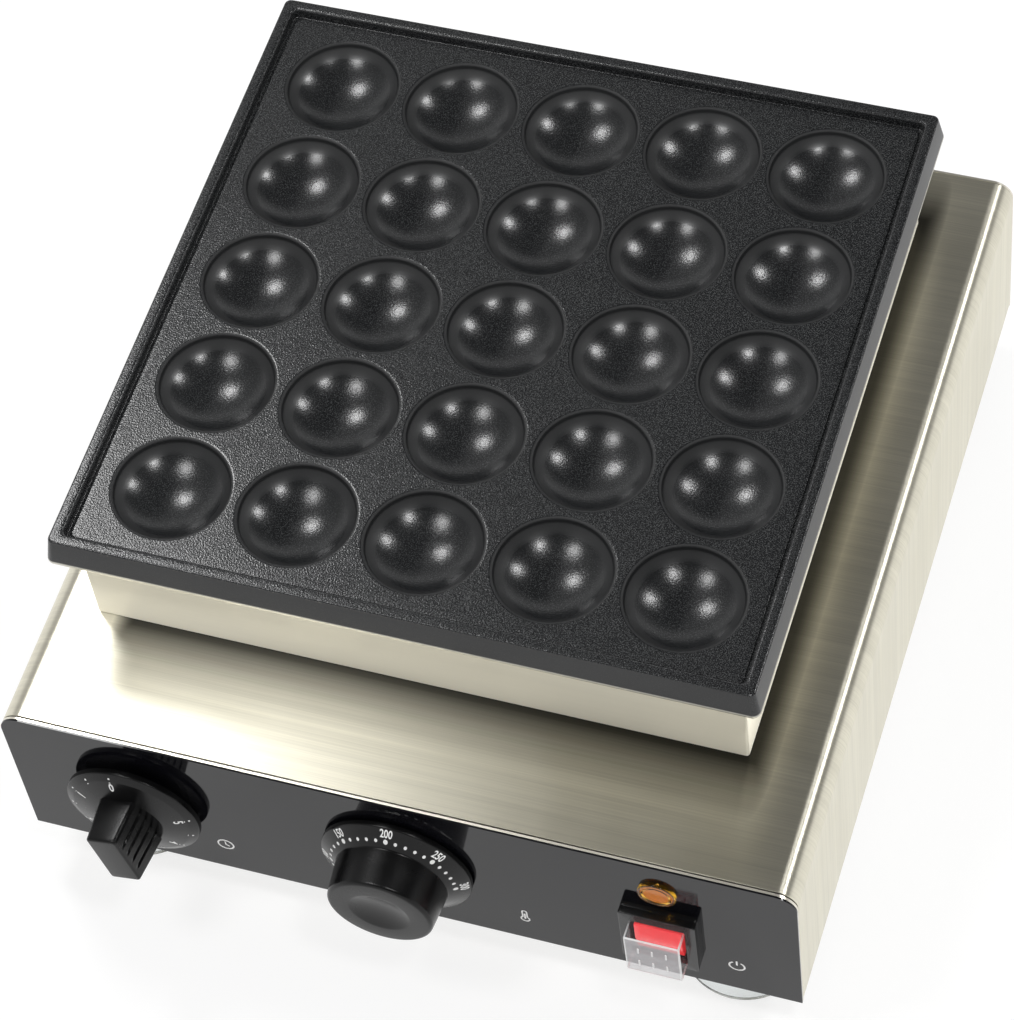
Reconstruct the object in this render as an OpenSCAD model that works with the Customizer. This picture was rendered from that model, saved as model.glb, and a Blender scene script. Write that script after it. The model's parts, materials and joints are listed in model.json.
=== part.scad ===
// Mini pancake maker: a cast plate of round bowls sits on a steel heater box, and the box
// stands on a steel housing with a timer, a thermostat, a lamp and a covered rocker switch.
// The part stands on z = 0 with its front along -y. x = 0 is the middle of the housing.

/* [Griddle plate] */
// Bowls along each side of the square plate
bowls = 5; // [4:1:7]
// Distance between the middles of neighbouring bowls
bowl_pitch = 50; // [48:1:60]
// Width of a bowl at its mouth
bowl_d = 45; // [38:0.5:46]
// Depth of a bowl below the plate's floor
bowl_depth = 10.5; // [8:0.5:13]
// Height of the steep wall at a bowl's mouth
bowl_wall = 2; // [1:0.5:4]
// Lean of the steep wall, in degrees
bowl_lean = 14; // [5:1:25]
// Metal left under a bowl
bowl_floor = 4; // [3:0.5:8]
// Flat margin from the outer bowls to the plate's top edge
plate_margin = 13.7; // [12:0.1:30]
// Height of the plate's outer edge
plate_edge_h = 12.3; // [8:0.1:18]
// How far each side leans out from top to bottom
plate_flare = 1.95; // [0.5:0.05:4]
// Radius of the plate's corners
plate_corner_r = 2.5; // [2:0.5:12]
// Width of the raised rim's flat top
rim_w = 4.6; // [3:0.1:7]
// Height of the rim above the plate's floor
rim_h = 3.7; // [1.5:0.1:5]
// Width of the drip groove inside the rim
groove_w = 1.8; // [1:0.1:3]
// Depth of the drip groove
groove_depth = 0.8; // [0.4:0.1:1.5]

/* [Heater box] */
// Overhang of the plate's top edge past the box at its left and right
overhang_x = 6.45; // [4:0.05:20]
// Overhang of the plate's top edge past the box at its front and back
overhang_y = 8.1; // [4:0.05:20]
// Height of the box between the housing and the plate
box_h = 47; // [44:0.5:80]
// Radius of the box's upright edges
box_corner_r = 3.5; // [2.5:0.5:8]
// Width of the lip that stands on the housing
box_lip = 12; // [8:0.5:20]
// Gap between the plate's core and the box wall
core_gap = 6.5; // [3:0.5:12]
// Thickness of the insulation pad
pad_t = 18; // [10:0.5:20]

/* [Housing] */
// Height of the housing's front panel
housing_h = 80.7; // [78:0.1:110]
// Ledge of the housing left and right of the heater box
ledge_x = 26.75; // [22:0.25:60]
// Ledge of the housing in front of the heater box
ledge_front = 53.7; // [40:0.1:90]
// Ledge of the housing behind the heater box
ledge_rear = 27.7; // [15:0.1:60]
// Sideways shift of the plate and the box on the housing
head_shift = -5.6; // [-10:0.1:10]
// Thickness of the cover, box and panel sheets
sheet_t = 1; // [0.8:0.1:1.5]
// Outer radius of the cover's long bends
bend_r = 8.5; // [4:0.5:14]
// Width of the turned-in flanges
flange_w = 14; // [10:0.5:20]
// Thickness of the base plate
base_t = 1.2; // [1:0.1:2]
// Thickness of the front panel's glossy overlay
overlay_t = 0.8; // [0.5:0.1:1.5]
// Gap between the front panel and the cover's front edge
panel_gap = 0.6; // [0.3:0.1:1.5]

/* [Feet] */
// Height of a foot below the housing
foot_h = 25; // [20:0.5:45]
// Width of a foot's sucker on the table
foot_d = 50; // [44:1:58]
// Distance from a foot's middle to the housing's side and front
foot_inset = 31.5; // [29:0.5:50]
// Width of the flat ring that a foot stands on
foot_ring = 4.5; // [3:0.5:8]
// Diameter of the foot bolts
foot_bolt_d = 6; // [5:0.5:8]

/* [Controls] */
// Distance of the timer from the housing's left side
timer_edge = 50.5; // [45:0.5:54]
// Distance of the switch and lamp from the housing's right side
switch_edge = 53.2; // [40:0.1:60]
// Turn of the timer dial at rest, in degrees to the left
timer_turn = 12; // [0:1:30]
// Width of the timer knob's skirt
timer_skirt_d = 54; // [48:0.5:60]
// Reach of the timer knob out of the panel
timer_reach = 28; // [24:0.5:36]
// Width of the thermostat knob's skirt
dial_skirt_d = 60; // [56:0.5:66]
// Width of the thermostat knob's grip at its root
dial_grip_d = 44.6; // [38:0.2:48]
// Reach of the thermostat knob out of the panel
dial_reach = 23.4; // [20:0.2:32]
// Diameter of both control shafts
shaft_d = 6; // [5:0.5:7]
// Width of the lamp's lens
lens_d = 14.8; // [13:0.2:16]
// Reach of the lens out of the panel
lens_reach = 1.8; // [1.2:0.1:4]
// Gap between the lamp's lens and the switch's frame below it
lamp_gap = 5.3; // [0.3:0.1:8]
// Height of the rocker's pivot from the panel's top edge, negative below it
switch_up = -47.9; // [-52:0.1:-44]
// Rise of the switch's frame above the rocker's pivot
frame_lift = 0.4; // [0:0.1:1.5]
// Width of the switch's frame
frame_w = 29.8; // [28:0.1:34]
// Height of the switch's frame
frame_h = 34.2; // [33:0.1:38]
// Depth of the switch's own flange
flange_reach = 2; // [1.5:0.1:3]
// Reach of the boot's frame out of the panel
frame_reach = 5; // [4.5:0.1:7]
// Width of the clear boot
boot_w = 21.8; // [21.4:0.1:23]
// Height of the clear boot
boot_h = 25; // [24.6:0.1:27]
// Reach of the clear boot out of the panel
boot_reach = 12.4; // [10:0.1:16]
// Width of the rocker
rocker_w = 18.2; // [16:0.1:18.8]
// Height of the rocker
rocker_h = 21.2; // [18:0.1:21.6]
// Tilt of the rocker to each side, in degrees
rocker_tilt = 6; // [4:0.5:8]

/* [Heater] */
// Diameter of the tubular element
element_d = 8; // [6:0.5:9]
// Margin from the element's outer turns to the edge of the plate's core
run_margin = 4.5; // [2:0.5:15]
// Half gap between the element's left and right inner turns
turn_gap = 4.25; // [2:0.25:10]
// Diameter of the studs that tie the plate to the housing
stud_d = 6; // [5:0.5:8]
// Diameter of the thermostat's bulb
bulb_d = 6; // [4:0.5:7]
// Length of the thermostat's bulb
bulb_len = 100; // [60:1:106]

/* [Power inlet] */
// Bore of the cable gland
gland_bore_d = 8.4; // [6:0.2:10]
// Diameter of the gland's thread
gland_thread_d = 16; // [14:0.5:20]
// Reach of the gland behind the housing
gland_reach = 18; // [12:0.5:30]
// Height of the gland and the terminals above the panel's bottom edge
gland_up = 22; // [18:0.5:40]

/* [Hidden] */
$fn = 64;
hull_fn = 32;
// Clearances and small allowances
contact = 0.05;
fit = 0.02;
run_fit = 0.05;
hole_gap = 0.4;
skirt_gap = 1;
over = 1;

// Griddle plate and heater box
plate_w = (bowls - 1) * bowl_pitch + bowl_d + 2 * plate_margin;
box_w = plate_w - 2 * overhang_x;
box_d = plate_w - 2 * overhang_y;
core_w = box_w - 2 * sheet_t - 2 * core_gap;
core_d = box_d - 2 * sheet_t - 2 * core_gap;
housing_w = box_w + 2 * ledge_x;
housing_d = box_d + ledge_front + ledge_rear;
housing_top = foot_h + housing_h;
plate_z = housing_top + box_h;
plate_top = plate_z + plate_edge_h;
floor_z = plate_top - rim_h;
core_z = floor_z - bowl_depth - bowl_floor;
mouth_r = bowl_d / 2;
bowl_wall_r = mouth_r - bowl_wall * tan(bowl_lean);
bowl_cap_h = bowl_depth - bowl_wall;
bowl_ball_r = (pow(bowl_wall_r, 2) + pow(bowl_cap_h, 2)) / (2 * bowl_cap_h);

// Front to back: the middle of the whole part is y = 0
total_d = timer_reach + housing_d + gland_reach;
panel_y = -total_d / 2 + timer_reach;
back_y = panel_y + housing_d;
head_x = head_shift;
head_y = panel_y + ledge_front + box_d / 2;
panel_back_y = panel_y + overlay_t + sheet_t;
cover_front_y = panel_back_y + panel_gap;
cover_back_y = back_y - sheet_t;
wall_x = housing_w / 2 - sheet_t;
base_z = foot_h + sheet_t;
base_top = base_z + base_t;
knob_up = housing_h / 2;
timer_at = housing_w / 2 - timer_edge;
switch_at = housing_w / 2 - switch_edge;
pivot_up = housing_h + switch_up;
lamp_up = pivot_up + frame_lift + frame_h / 2 + lamp_gap + lens_d / 2;
foot_x = housing_w / 2 - foot_inset;
foot_front_y = panel_y + foot_inset;
foot_back_y = back_y - foot_inset;
foot_places = [for (y = [foot_front_y, foot_back_y], side = [-1, 1]) [side * foot_x, y]];
foot_pocket_h = 10;
foot_head_h = 4;
foot_head_ratio = 1.7;
foot_bolt_tail = 3;

// Fasteners
screw_d = 4;
screw_head_d = 7.5;
screw_head_h = 2.4;
small_screw_d = 3;
small_head_d = 5.6;
small_head_h = 1.8;
small_screw_len = 8;
nut_ratio = 1.8;
nut_h = 5;
flange_screws = [for (side = [-1, 1], at = [0.12, 0.5, 0.88])
    [side * (wall_x - flange_w / 2), cover_front_y + at * (cover_back_y - cover_front_y)]];
back_screw_x = wall_x - flange_w / 2;
back_screw_edge = 22;
back_screws = [for (side = [-1, 1], up = [back_screw_edge, housing_h - back_screw_edge])
    [side * back_screw_x, foot_h + up]];

// Heater: the studs stand between the bowls, and the element's runs pass midway between the studs
stud_at = (bowls - 2) * bowl_pitch / 2;
stud_places = [for (sx = [-1, 1], sy = [-1, 1]) [head_x + sx * stud_at, head_y + sy * stud_at]];
stud_depth = 8;
stud_tail = 8;
runs = 6;
run_pitch = stud_at / 2;
element_r = element_d / 2;
run_half = core_w / 2 - run_margin - element_r - run_pitch / 2;
run_gap = run_pitch / 2 + element_r + turn_gap;
run_end_y = (runs - 1) / 2 * run_pitch;
element_z = core_z - contact - element_r;
lead_run = 8;
pin_d = 4;
pin_len = 12;
pin_drop = 14;
pin_end_z = housing_top - pin_drop;
bar_w = 14;
bar_t = 3;
bar_end = 16;
bar_top = element_z - element_r - contact;
bar_len = 2 * run_end_y + 2 * bar_end;
pad_gap = 2;
pad_w = box_w - 2 * sheet_t - 2 * box_lip - 2 * pad_gap;
pad_d = box_d - 2 * sheet_t - 2 * box_lip - 2 * pad_gap;
tray_t = 0.8;
lead_places = [for (side = [-1, 1]) [head_x + side * run_gap, head_y - run_end_y - lead_run]];
bulb_z = core_z - contact - bulb_d / 2;
tail_d = 2;
tail_run = 8;
tail_x = head_x - bulb_len / 2 - tail_run;
tail_hole_d = 12;
tail_drop = 18;
lead_hole_gap = 3;
lead_hole_d = element_d + 2 * lead_hole_gap;

// Bodies behind the panel
bush_d = 10;
bush_reach = 1.5;
control_screw_at = 14;
bracket_w = 42;
bracket_h = 22;
bracket_t = 1.5;
thermostat_w = 38;
thermostat_h = 34;
thermostat_d = 30;
timer_w = 46;
timer_h = 46;
timer_d = 34;
shaft_in = 14;
flat_depth = 1;
flat_len = 10;
hub_d = 14;
hub_start = 3;
dial_cap = 7;
dial_shaft_reach = dial_reach - dial_cap;
timer_cap = 10;
timer_shaft_reach = timer_reach - timer_cap;
lamp_d = 12.6;
lamp_len = 26;
clip_w = 2;
clip_d = lamp_d + 2 * clip_w;
clip_t = 2;
tab_t = 0.8;
switch_body_w = 22;
switch_body_h = 30;
switch_body_d = 26;
cavity_gap = 0.4;
cavity_h = 26;
cavity_depth = 6;
pivot_out = -1.5;
trunnion_d = 3;
trunnion_len = 1;
rocker_face = 4.9;
rocker_back = 3;
boot_t = 0.8;
boot_lip = 2;
boot_lip_t = 1;
rib_d = 0.8;
wire_d = 3;
wire_gap = 10;
heater_lead_up = 8;
supply_turn = 30;

// Inlet
gland_hex_d = 24;
gland_hex_h = 6;
gland_cap_d = 19;
gland_nose_d = 14;
gland_nose_h = 4;
gland_in = 12;
gland_nut_t = 5;
block_w = 42;
block_d = 22;
block_h = 24;
block_inset = 80;
block_y = back_y - block_inset;
block_x = switch_at;
earth_at = 34;
earth_len = 12;
earth_hex_h = 3;
terminal_gap = 10;
terminal_places = [for (i = [-1.5 : 1 : 1.5]) block_x + i * terminal_gap];
terminal_d = 5;
terminal_depth = 8;
terminal_screw_h = 5;
terminal_bore_d = 4.5;
thermostat_back_y = panel_back_y + bracket_t + thermostat_d;
switch_back_y = panel_y + switch_body_d;

// Shared shapes

// A flat rectangle with round corners, centred.
module rounded_rect(w, d, r) {
    square([w - 2 * r, d], center = true);
    square([w, d - 2 * r], center = true);
    for (sx = [-1, 1], sy = [-1, 1])
        translate([sx * (w / 2 - r), sy * (d / 2 - r)]) circle(r = r);
}

// The housing's end view: round upper corners and square lower ones, standing on y = 0.
module end_outline(w, h, r) {
    translate([-w / 2, 0]) square([w, h - r]);
    translate([-w / 2 + r, 0]) square([w - 2 * r, h]);
    for (side = [-1, 1]) translate([side * (w / 2 - r), h - r]) circle(r = r);
}

// Places a child on the front panel: its x is right, its y is up and its z points out of the panel.
module on_panel(x, up, out = 0) {
    translate([x, panel_y - out, foot_h + up]) rotate([90, 0, 0]) children();
}

// A round rod from point a to point b.
module rod(a, b, r) {
    v = b - a;
    l = norm(v);
    translate(a) rotate([0, acos(v[2] / l), atan2(v[1], v[0])]) cylinder(h = l, r = r);
}

// A bent wire through the given points, with a ball at each bend that is a little wider than the wire.
module wire(points, r) {
    for (i = [0 : len(points) - 2]) rod(points[i], points[i + 1], r);
    for (i = [1 : len(points) - 2]) translate(points[i]) sphere(r = r + fit);
}

// A control's shaft, with a flat near its free end. Its z points out of the panel.
module control_shaft(reach) {
    difference() {
        translate([0, 0, -shaft_in]) cylinder(h = shaft_in + reach, d = shaft_d);
        translate([-shaft_d, shaft_d / 2 - flat_depth, reach - flat_len])
            cube([2 * shaft_d, shaft_d, flat_len + over]);
    }
}

// The hole in a knob that fits the shaft and its flat.
module shaft_socket(reach) {
    difference() {
        cylinder(h = reach + fit, d = shaft_d + 2 * fit);
        translate([-shaft_d, shaft_d / 2 - flat_depth + fit, reach - flat_len + fit])
            cube([2 * shaft_d, shaft_d, flat_len + over]);
    }
}

// The two screws that hold a control to the panel.
module control_screws() {
    grip = overlay_t + sheet_t + bracket_t + over;
    for (side = [-1, 1]) translate([side * control_screw_at, 0, 0]) {
        cylinder(h = screw_head_h, d = screw_head_d);
        translate([0, 0, -grip]) cylinder(h = grip + screw_head_h / 2, d = screw_d);
    }
}

// Clear holes for a control: the bush and its two screws.
module control_holes(t) {
    cylinder(h = t, d = bush_d + hole_gap);
    for (side = [-1, 1]) translate([side * control_screw_at, 0, 0]) cylinder(h = t, d = screw_d + hole_gap);
}

// All holes through the front panel and its overlay, as tools of depth t that point out.
module panel_holes(t) {
    for (x = [-timer_at, 0]) on_panel(x, knob_up, -t + over) control_holes(t);
    on_panel(switch_at, lamp_up, -t + over) cylinder(h = t, d = lamp_d + hole_gap);
    on_panel(switch_at, pivot_up, -t + over)
        translate([-(switch_body_w + hole_gap) / 2, -(switch_body_h + hole_gap) / 2, 0])
            cube([switch_body_w + hole_gap, switch_body_h + hole_gap, t]);
}

// The body of a control behind the panel: a bracket, a case and a bush with a bore for the shaft.
module control_body(case_w, case_h, case_d) {
    back = -overlay_t - sheet_t;
    difference() {
        union() {
            translate([-bracket_w / 2, -bracket_h / 2, back - bracket_t])
                cube([bracket_w, bracket_h, bracket_t]);
            translate([-case_w / 2, -case_h / 2, back - bracket_t - case_d]) cube([case_w, case_h, case_d]);
            translate([0, 0, back - over]) cylinder(h = bush_reach - back + over, d = bush_d);
        }
        translate([0, 0, -shaft_in - run_fit])
            cylinder(h = shaft_in + bush_reach + over, d = shaft_d + 2 * run_fit);
        for (side = [-1, 1]) translate([side * control_screw_at, 0, back - bracket_t - 2 * over])
            cylinder(h = bracket_t + 3 * over, d = screw_d + 2 * fit);
    }
}

// Plate, box and heater

// One bowl as a cutting tool, with its mouth at z = 0: a ball below and a steep wall at the mouth.
module bowl() {
    intersection() {
        translate([0, 0, bowl_ball_r - bowl_depth]) sphere(r = bowl_ball_r, $fn = 128);
        translate([0, 0, -bowl_depth])
            cylinder(h = bowl_depth + over, r1 = mouth_r - bowl_depth * tan(bowl_lean),
                r2 = mouth_r + over * tan(bowl_lean), $fn = 128);
    }
}

module griddle_plate() color([0.09, 0.09, 0.1])
    translate([head_x, head_y, 0]) difference() {
        corner_at = plate_w / 2 - plate_corner_r;
        lower_corner_r = plate_corner_r + plate_flare;
        inner_w = plate_w - 2 * rim_w;
        floor_w = inner_w - 2 * groove_w;
        first = -(bowls - 1) / 2 * bowl_pitch;
        union() {
            hull() for (sx = [-1, 1], sy = [-1, 1]) translate([sx * corner_at, sy * corner_at, plate_z])
                cylinder(h = plate_edge_h, r1 = lower_corner_r, r2 = plate_corner_r, $fn = hull_fn);
            translate([0, 0, core_z]) linear_extrude(plate_z - core_z + over)
                rounded_rect(core_w, core_d, plate_corner_r);
        }
        translate([0, 0, floor_z]) linear_extrude(rim_h + over)
            rounded_rect(inner_w, inner_w, plate_corner_r);
        translate([0, 0, floor_z - groove_depth]) linear_extrude(groove_depth + over) difference() {
            rounded_rect(inner_w, inner_w, plate_corner_r);
            rounded_rect(floor_w, floor_w, plate_corner_r);
        }
        for (i = [0 : bowls - 1], j = [0 : bowls - 1])
            translate([first + i * bowl_pitch, first + j * bowl_pitch, floor_z]) bowl();
        for (sx = [-1, 1], sy = [-1, 1]) translate([sx * stud_at, sy * stud_at, core_z - over])
            cylinder(h = stud_depth + over, d = stud_d + 2 * fit);
    }

module heater_box() color([0.83, 0.81, 0.76])
    translate([head_x, head_y, housing_top]) difference() {
        linear_extrude(box_h) rounded_rect(box_w, box_d, box_corner_r);
        translate([0, 0, sheet_t]) linear_extrude(box_h)
            rounded_rect(box_w - 2 * sheet_t, box_d - 2 * sheet_t, box_corner_r - sheet_t);
        translate([0, 0, -over]) linear_extrude(box_h)
            rounded_rect(box_w - 2 * sheet_t - 2 * box_lip, box_d - 2 * sheet_t - 2 * box_lip, box_corner_r);
    }

// Half of the element: the runs on the left, joined by half turns.
module element_half() {
    for (i = [0 : runs - 1]) {
        y = i * run_pitch - run_end_y;
        inner = i == runs - 1 ? 0 : run_gap;
        translate([-run_half, y, 0]) rotate([0, 90, 0]) cylinder(h = run_half - inner, r = element_r);
    }
    for (i = [0 : 2 : runs - 2]) translate([-run_half, (i + 0.5) * run_pitch - run_end_y, 0])
        rotate([0, 0, 90]) rotate_extrude(angle = 180) translate([run_pitch / 2, 0]) circle(r = element_r);
    for (i = [1 : 2 : runs - 2]) translate([-run_gap, (i + 0.5) * run_pitch - run_end_y, 0])
        rotate([0, 0, -90]) rotate_extrude(angle = 180) translate([run_pitch / 2, 0]) circle(r = element_r);
}

module heating_element() color([0.36, 0.34, 0.33])
    translate([head_x, head_y, element_z]) {
        element_half();
        mirror([1, 0, 0]) element_half();
        for (side = [-1, 1]) translate([side * run_gap, -run_end_y, 0]) {
            sphere(r = element_r);
            rotate([90, 0, 0]) cylinder(h = lead_run, r = element_r);
            translate([0, -lead_run, 0]) sphere(r = element_r);
            translate([0, -lead_run, pin_end_z + pin_len - element_z])
                cylinder(h = element_z - pin_end_z - pin_len, r = element_r);
            translate([0, -lead_run, pin_end_z - element_z]) cylinder(h = pin_len + over, d = pin_d);
        }
    }

module element_bars() color([0.7, 0.7, 0.7])
    translate([head_x, head_y, bar_top - bar_t]) for (side = [-1, 1]) difference() {
        translate([side * stud_at - bar_w / 2, -bar_len / 2, 0]) cube([bar_w, bar_len, bar_t]);
        for (end = [-1, 1]) translate([side * stud_at, end * stud_at, -over])
            cylinder(h = bar_t + 2 * over, d = stud_d + hole_gap);
    }

module bar_nuts() color([0.72, 0.72, 0.7])
    for (p = stud_places) translate([p[0], p[1], bar_top - bar_t - nut_h]) nut(stud_d, nut_h);

// Holes that the studs, the element's ends and the thermostat's tube take through a sheet.
module head_holes(z, t) {
    for (p = stud_places) translate([p[0], p[1], z - over]) cylinder(h = t + 2 * over, d = stud_d + hole_gap);
    for (p = lead_places) translate([p[0], p[1], z - over]) cylinder(h = t + 2 * over, d = lead_hole_d);
    translate([tail_x, head_y, z - over]) cylinder(h = t + 2 * over, d = tail_hole_d);
}

module insulation_pad() color([0.92, 0.91, 0.87]) difference() {
    translate([head_x - pad_w / 2, head_y - pad_d / 2, housing_top]) cube([pad_w, pad_d, pad_t]);
    head_holes(housing_top, pad_t);
}

module reflector_tray() color([0.78, 0.78, 0.77]) difference() {
    translate([head_x - pad_w / 2, head_y - pad_d / 2, housing_top + pad_t]) cube([pad_w, pad_d, tray_t]);
    head_holes(housing_top + pad_t, tray_t);
}

module plate_studs() color([0.7, 0.7, 0.68])
    for (p = stud_places) translate([p[0], p[1], housing_top - sheet_t - nut_h - stud_tail])
        cylinder(h = core_z + stud_depth - contact - housing_top + sheet_t + nut_h + stud_tail, d = stud_d);

// A six-sided nut with a clear hole, standing on z = 0.
module nut(d, h) {
    difference() {
        cylinder(h = h, d = d * nut_ratio / cos(30), $fn = 6);
        translate([0, 0, -over]) cylinder(h = h + 2 * over, d = d + 2 * fit);
    }
}

module plate_nuts() color([0.72, 0.72, 0.7])
    for (p = stud_places) translate([p[0], p[1], housing_top - sheet_t - nut_h]) nut(stud_d, nut_h);

// Housing

module housing_cover() color([0.74, 0.72, 0.67]) {
    depth = cover_back_y - cover_front_y;
    side_h = housing_h - bend_r - base_t - 3 * sheet_t;
    side_z = base_top + sheet_t + side_h / 2;
    turn_w = flange_w + sheet_t;
    turn_x = wall_x - flange_w / 2 + sheet_t / 2;
    front_w = flange_w + sheet_t / 2;
    front_x = wall_x - flange_w / 2 + sheet_t / 4;
    front_d = panel_gap + sheet_t;
    difference() {
        union() {
            translate([0, cover_back_y, foot_h]) rotate([90, 0, 0]) linear_extrude(depth) difference() {
                end_outline(housing_w, housing_h, bend_r);
                translate([0, -over]) end_outline(2 * wall_x, housing_h - sheet_t + over, bend_r - sheet_t);
            }
            for (side = [-1, 1]) {
                translate([side * turn_x, cover_front_y + depth / 2, foot_h + sheet_t / 2])
                    cube([turn_w, depth, sheet_t], center = true);
                translate([side * turn_x, cover_back_y - sheet_t / 2, side_z])
                    cube([turn_w, sheet_t, side_h], center = true);
                translate([side * front_x, panel_back_y + front_d / 2, side_z])
                    cube([front_w, front_d, side_h], center = true);
            }
        }
        head_holes(housing_top - sheet_t, sheet_t);
        for (p = flange_screws) translate([p[0], p[1], foot_h - over])
            cylinder(h = sheet_t + 2 * over, d = small_screw_d + hole_gap);
        for (p = back_screws) translate([p[0], cover_back_y + over, p[1]]) rotate([90, 0, 0])
            cylinder(h = sheet_t + 2 * over, d = small_screw_d + 2 * fit);
    }
}

// A flange under an end panel, which the base plate stands on.
module end_flange(y) {
    w = 2 * (wall_x - flange_w - sheet_t);
    translate([-w / 2, y, foot_h]) cube([w, flange_w, sheet_t]);
}

module front_panel() color([0.8, 0.79, 0.76]) difference() {
    union() {
        translate([0, panel_back_y, foot_h]) rotate([90, 0, 0]) linear_extrude(sheet_t)
            end_outline(housing_w, housing_h, bend_r);
        end_flange(panel_back_y - sheet_t / 2);
    }
    panel_holes(overlay_t + sheet_t + 3 * over);
}

module panel_overlay() color([0.2, 0.2, 0.21]) difference() {
    translate([0, panel_y + overlay_t, foot_h]) rotate([90, 0, 0]) linear_extrude(overlay_t)
        end_outline(housing_w, housing_h, bend_r);
    panel_holes(overlay_t + 3 * over);
}

module rear_panel() color([0.78, 0.77, 0.74]) difference() {
    vent_w = 3;
    vent_h = 30;
    vent_pitch = 12;
    vents = 9;
    vent_z = foot_h + housing_h / 2 - vent_h / 2;
    union() {
        translate([0, back_y, foot_h]) rotate([90, 0, 0]) linear_extrude(sheet_t)
            end_outline(housing_w, housing_h, bend_r);
        end_flange(back_y - sheet_t / 2 - flange_w);
    }
    translate([block_x, back_y + over, foot_h + gland_up]) rotate([90, 0, 0])
        cylinder(h = sheet_t + 2 * over, d = gland_thread_d + hole_gap);
    for (p = back_screws) translate([p[0], back_y + over, p[1]]) rotate([90, 0, 0])
        cylinder(h = sheet_t + 2 * over, d = small_screw_d + hole_gap);
    for (i = [0 : vents - 1]) translate([(i - vents + 1) * vent_pitch, back_y - sheet_t - over, vent_z])
        cube([vent_w, sheet_t + 2 * over, vent_h]);
}

module base_plate() color([0.7, 0.7, 0.69]) difference() {
    slot_w = 4;
    slot_len = 60;
    slot_pitch = 12;
    slots = 9;
    first = -(slots - 1) / 2 * slot_pitch - slot_w / 2;
    translate([-wall_x + hole_gap, cover_front_y + 2 * sheet_t, base_z])
        cube([2 * wall_x - 2 * hole_gap, cover_back_y - cover_front_y - 4 * sheet_t, base_t]);
    for (p = foot_places) translate([p[0], p[1], base_z - over])
        cylinder(h = base_t + 2 * over, d = foot_bolt_d + hole_gap);
    for (p = flange_screws) translate([p[0], p[1], base_z - over])
        cylinder(h = base_t + 2 * over, d = small_screw_d + 2 * fit);
    translate([block_x - earth_at, block_y, base_z - over])
        cylinder(h = base_t + 2 * over, d = screw_d + 2 * fit);
    for (i = [0 : slots - 1]) translate([first + i * slot_pitch, -slot_len / 2, base_z - over])
        cube([slot_w, slot_len, base_t + 2 * over]);
}

module rear_screws() color([0.75, 0.75, 0.73])
    for (p = back_screws) translate([p[0], back_y, p[1]]) rotate([90, 0, 0]) {
        translate([0, 0, -small_head_h]) cylinder(h = small_head_h, d = small_head_d);
        cylinder(h = small_screw_len, d = small_screw_d);
    }

module base_screws() color([0.75, 0.75, 0.73])
    for (p = flange_screws) translate([p[0], p[1], foot_h]) {
        translate([0, 0, -small_head_h]) cylinder(h = small_head_h, d = small_head_d);
        cylinder(h = small_screw_len, d = small_screw_d);
    }

// A sucker foot: a wide cup with a flat ring on the table and a neck up to the base plate.
module foot(place) color([0.82, 0.84, 0.86]) {
    cup_r = foot_d / 2;
    lip_h = 2.5;
    lip_slope = 1.5;
    cup_h = 13;
    neck_r = 11;
    neck_flare = 1;
    neck_blend = 2;
    hollow_h = 4;
    pocket_r = foot_bolt_d;
    hole_r = (foot_bolt_d + hole_gap) / 2;
    translate([place[0], place[1], 0]) rotate_extrude($fn = 96) polygon([
        [cup_r - foot_ring, 0], [cup_r, 0], [cup_r, lip_h], [cup_r - lip_h, lip_h + lip_slope],
        [neck_r + neck_flare, cup_h], [neck_r, cup_h + neck_blend], [neck_r, base_z], [hole_r, base_z],
        [hole_r, foot_pocket_h], [pocket_r, foot_pocket_h], [pocket_r, hollow_h]]);
}

module foot_front_left() foot(foot_places[0]);
module foot_front_right() foot(foot_places[1]);
module foot_rear_left() foot(foot_places[2]);
module foot_rear_right() foot(foot_places[3]);

module foot_bolts() color([0.7, 0.7, 0.68])
    for (p = foot_places) translate([p[0], p[1], foot_pocket_h]) {
        translate([0, 0, -foot_head_h]) cylinder(h = foot_head_h, d = foot_bolt_d * foot_head_ratio);
        cylinder(h = base_top + nut_h + foot_bolt_tail - foot_pocket_h, d = foot_bolt_d);
    }

module foot_nuts() color([0.72, 0.72, 0.7])
    for (p = foot_places) translate([p[0], p[1], base_top]) nut(foot_bolt_d, nut_h);

// Controls

module thermostat_body() color([0.72, 0.7, 0.64])
    on_panel(0, knob_up) control_body(thermostat_w, thermostat_h, thermostat_d);

module thermostat_shaft() color([0.7, 0.7, 0.68]) on_panel(0, knob_up) control_shaft(dial_shaft_reach);

module thermostat_screws() color([0.75, 0.75, 0.73]) on_panel(0, knob_up) control_screws();

module thermostat_knob() color([0.1, 0.1, 0.1]) on_panel(0, knob_up) {
    skirt_r = dial_skirt_d / 2;
    grip_r = dial_grip_d / 2;
    nose_taper = 1.4;
    nose_r = grip_r - nose_taper;
    edge_h = 3.2;
    cone_h = 8;
    wall = 2.2;
    bevel = 0.8;
    ring_w = 2.6;
    ring_r = nose_r - ring_w;
    dish_slope_w = 2.4;
    dish_r = ring_r - dish_slope_w;
    dish_depth = 1.4;
    dish_mid_depth = 1.8;
    front_t = 4;
    cone_t = 1;
    difference() {
        rotate_extrude($fn = 96) polygon([
            [skirt_r, skirt_gap], [skirt_r, edge_h], [grip_r, cone_h], [nose_r, dial_reach - bevel],
            [nose_r - bevel, dial_reach], [ring_r, dial_reach], [dish_r, dial_reach - dish_depth],
            [0, dial_reach - dish_mid_depth], [0, hub_start], [hub_d / 2, hub_start],
            [hub_d / 2, dial_reach - front_t], [nose_r - wall, dial_reach - front_t],
            [grip_r - wall, cone_h - cone_t], [skirt_r - wall, edge_h - bevel], [skirt_r - wall, skirt_gap]]);
        shaft_socket(dial_shaft_reach);
    }
}

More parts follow.
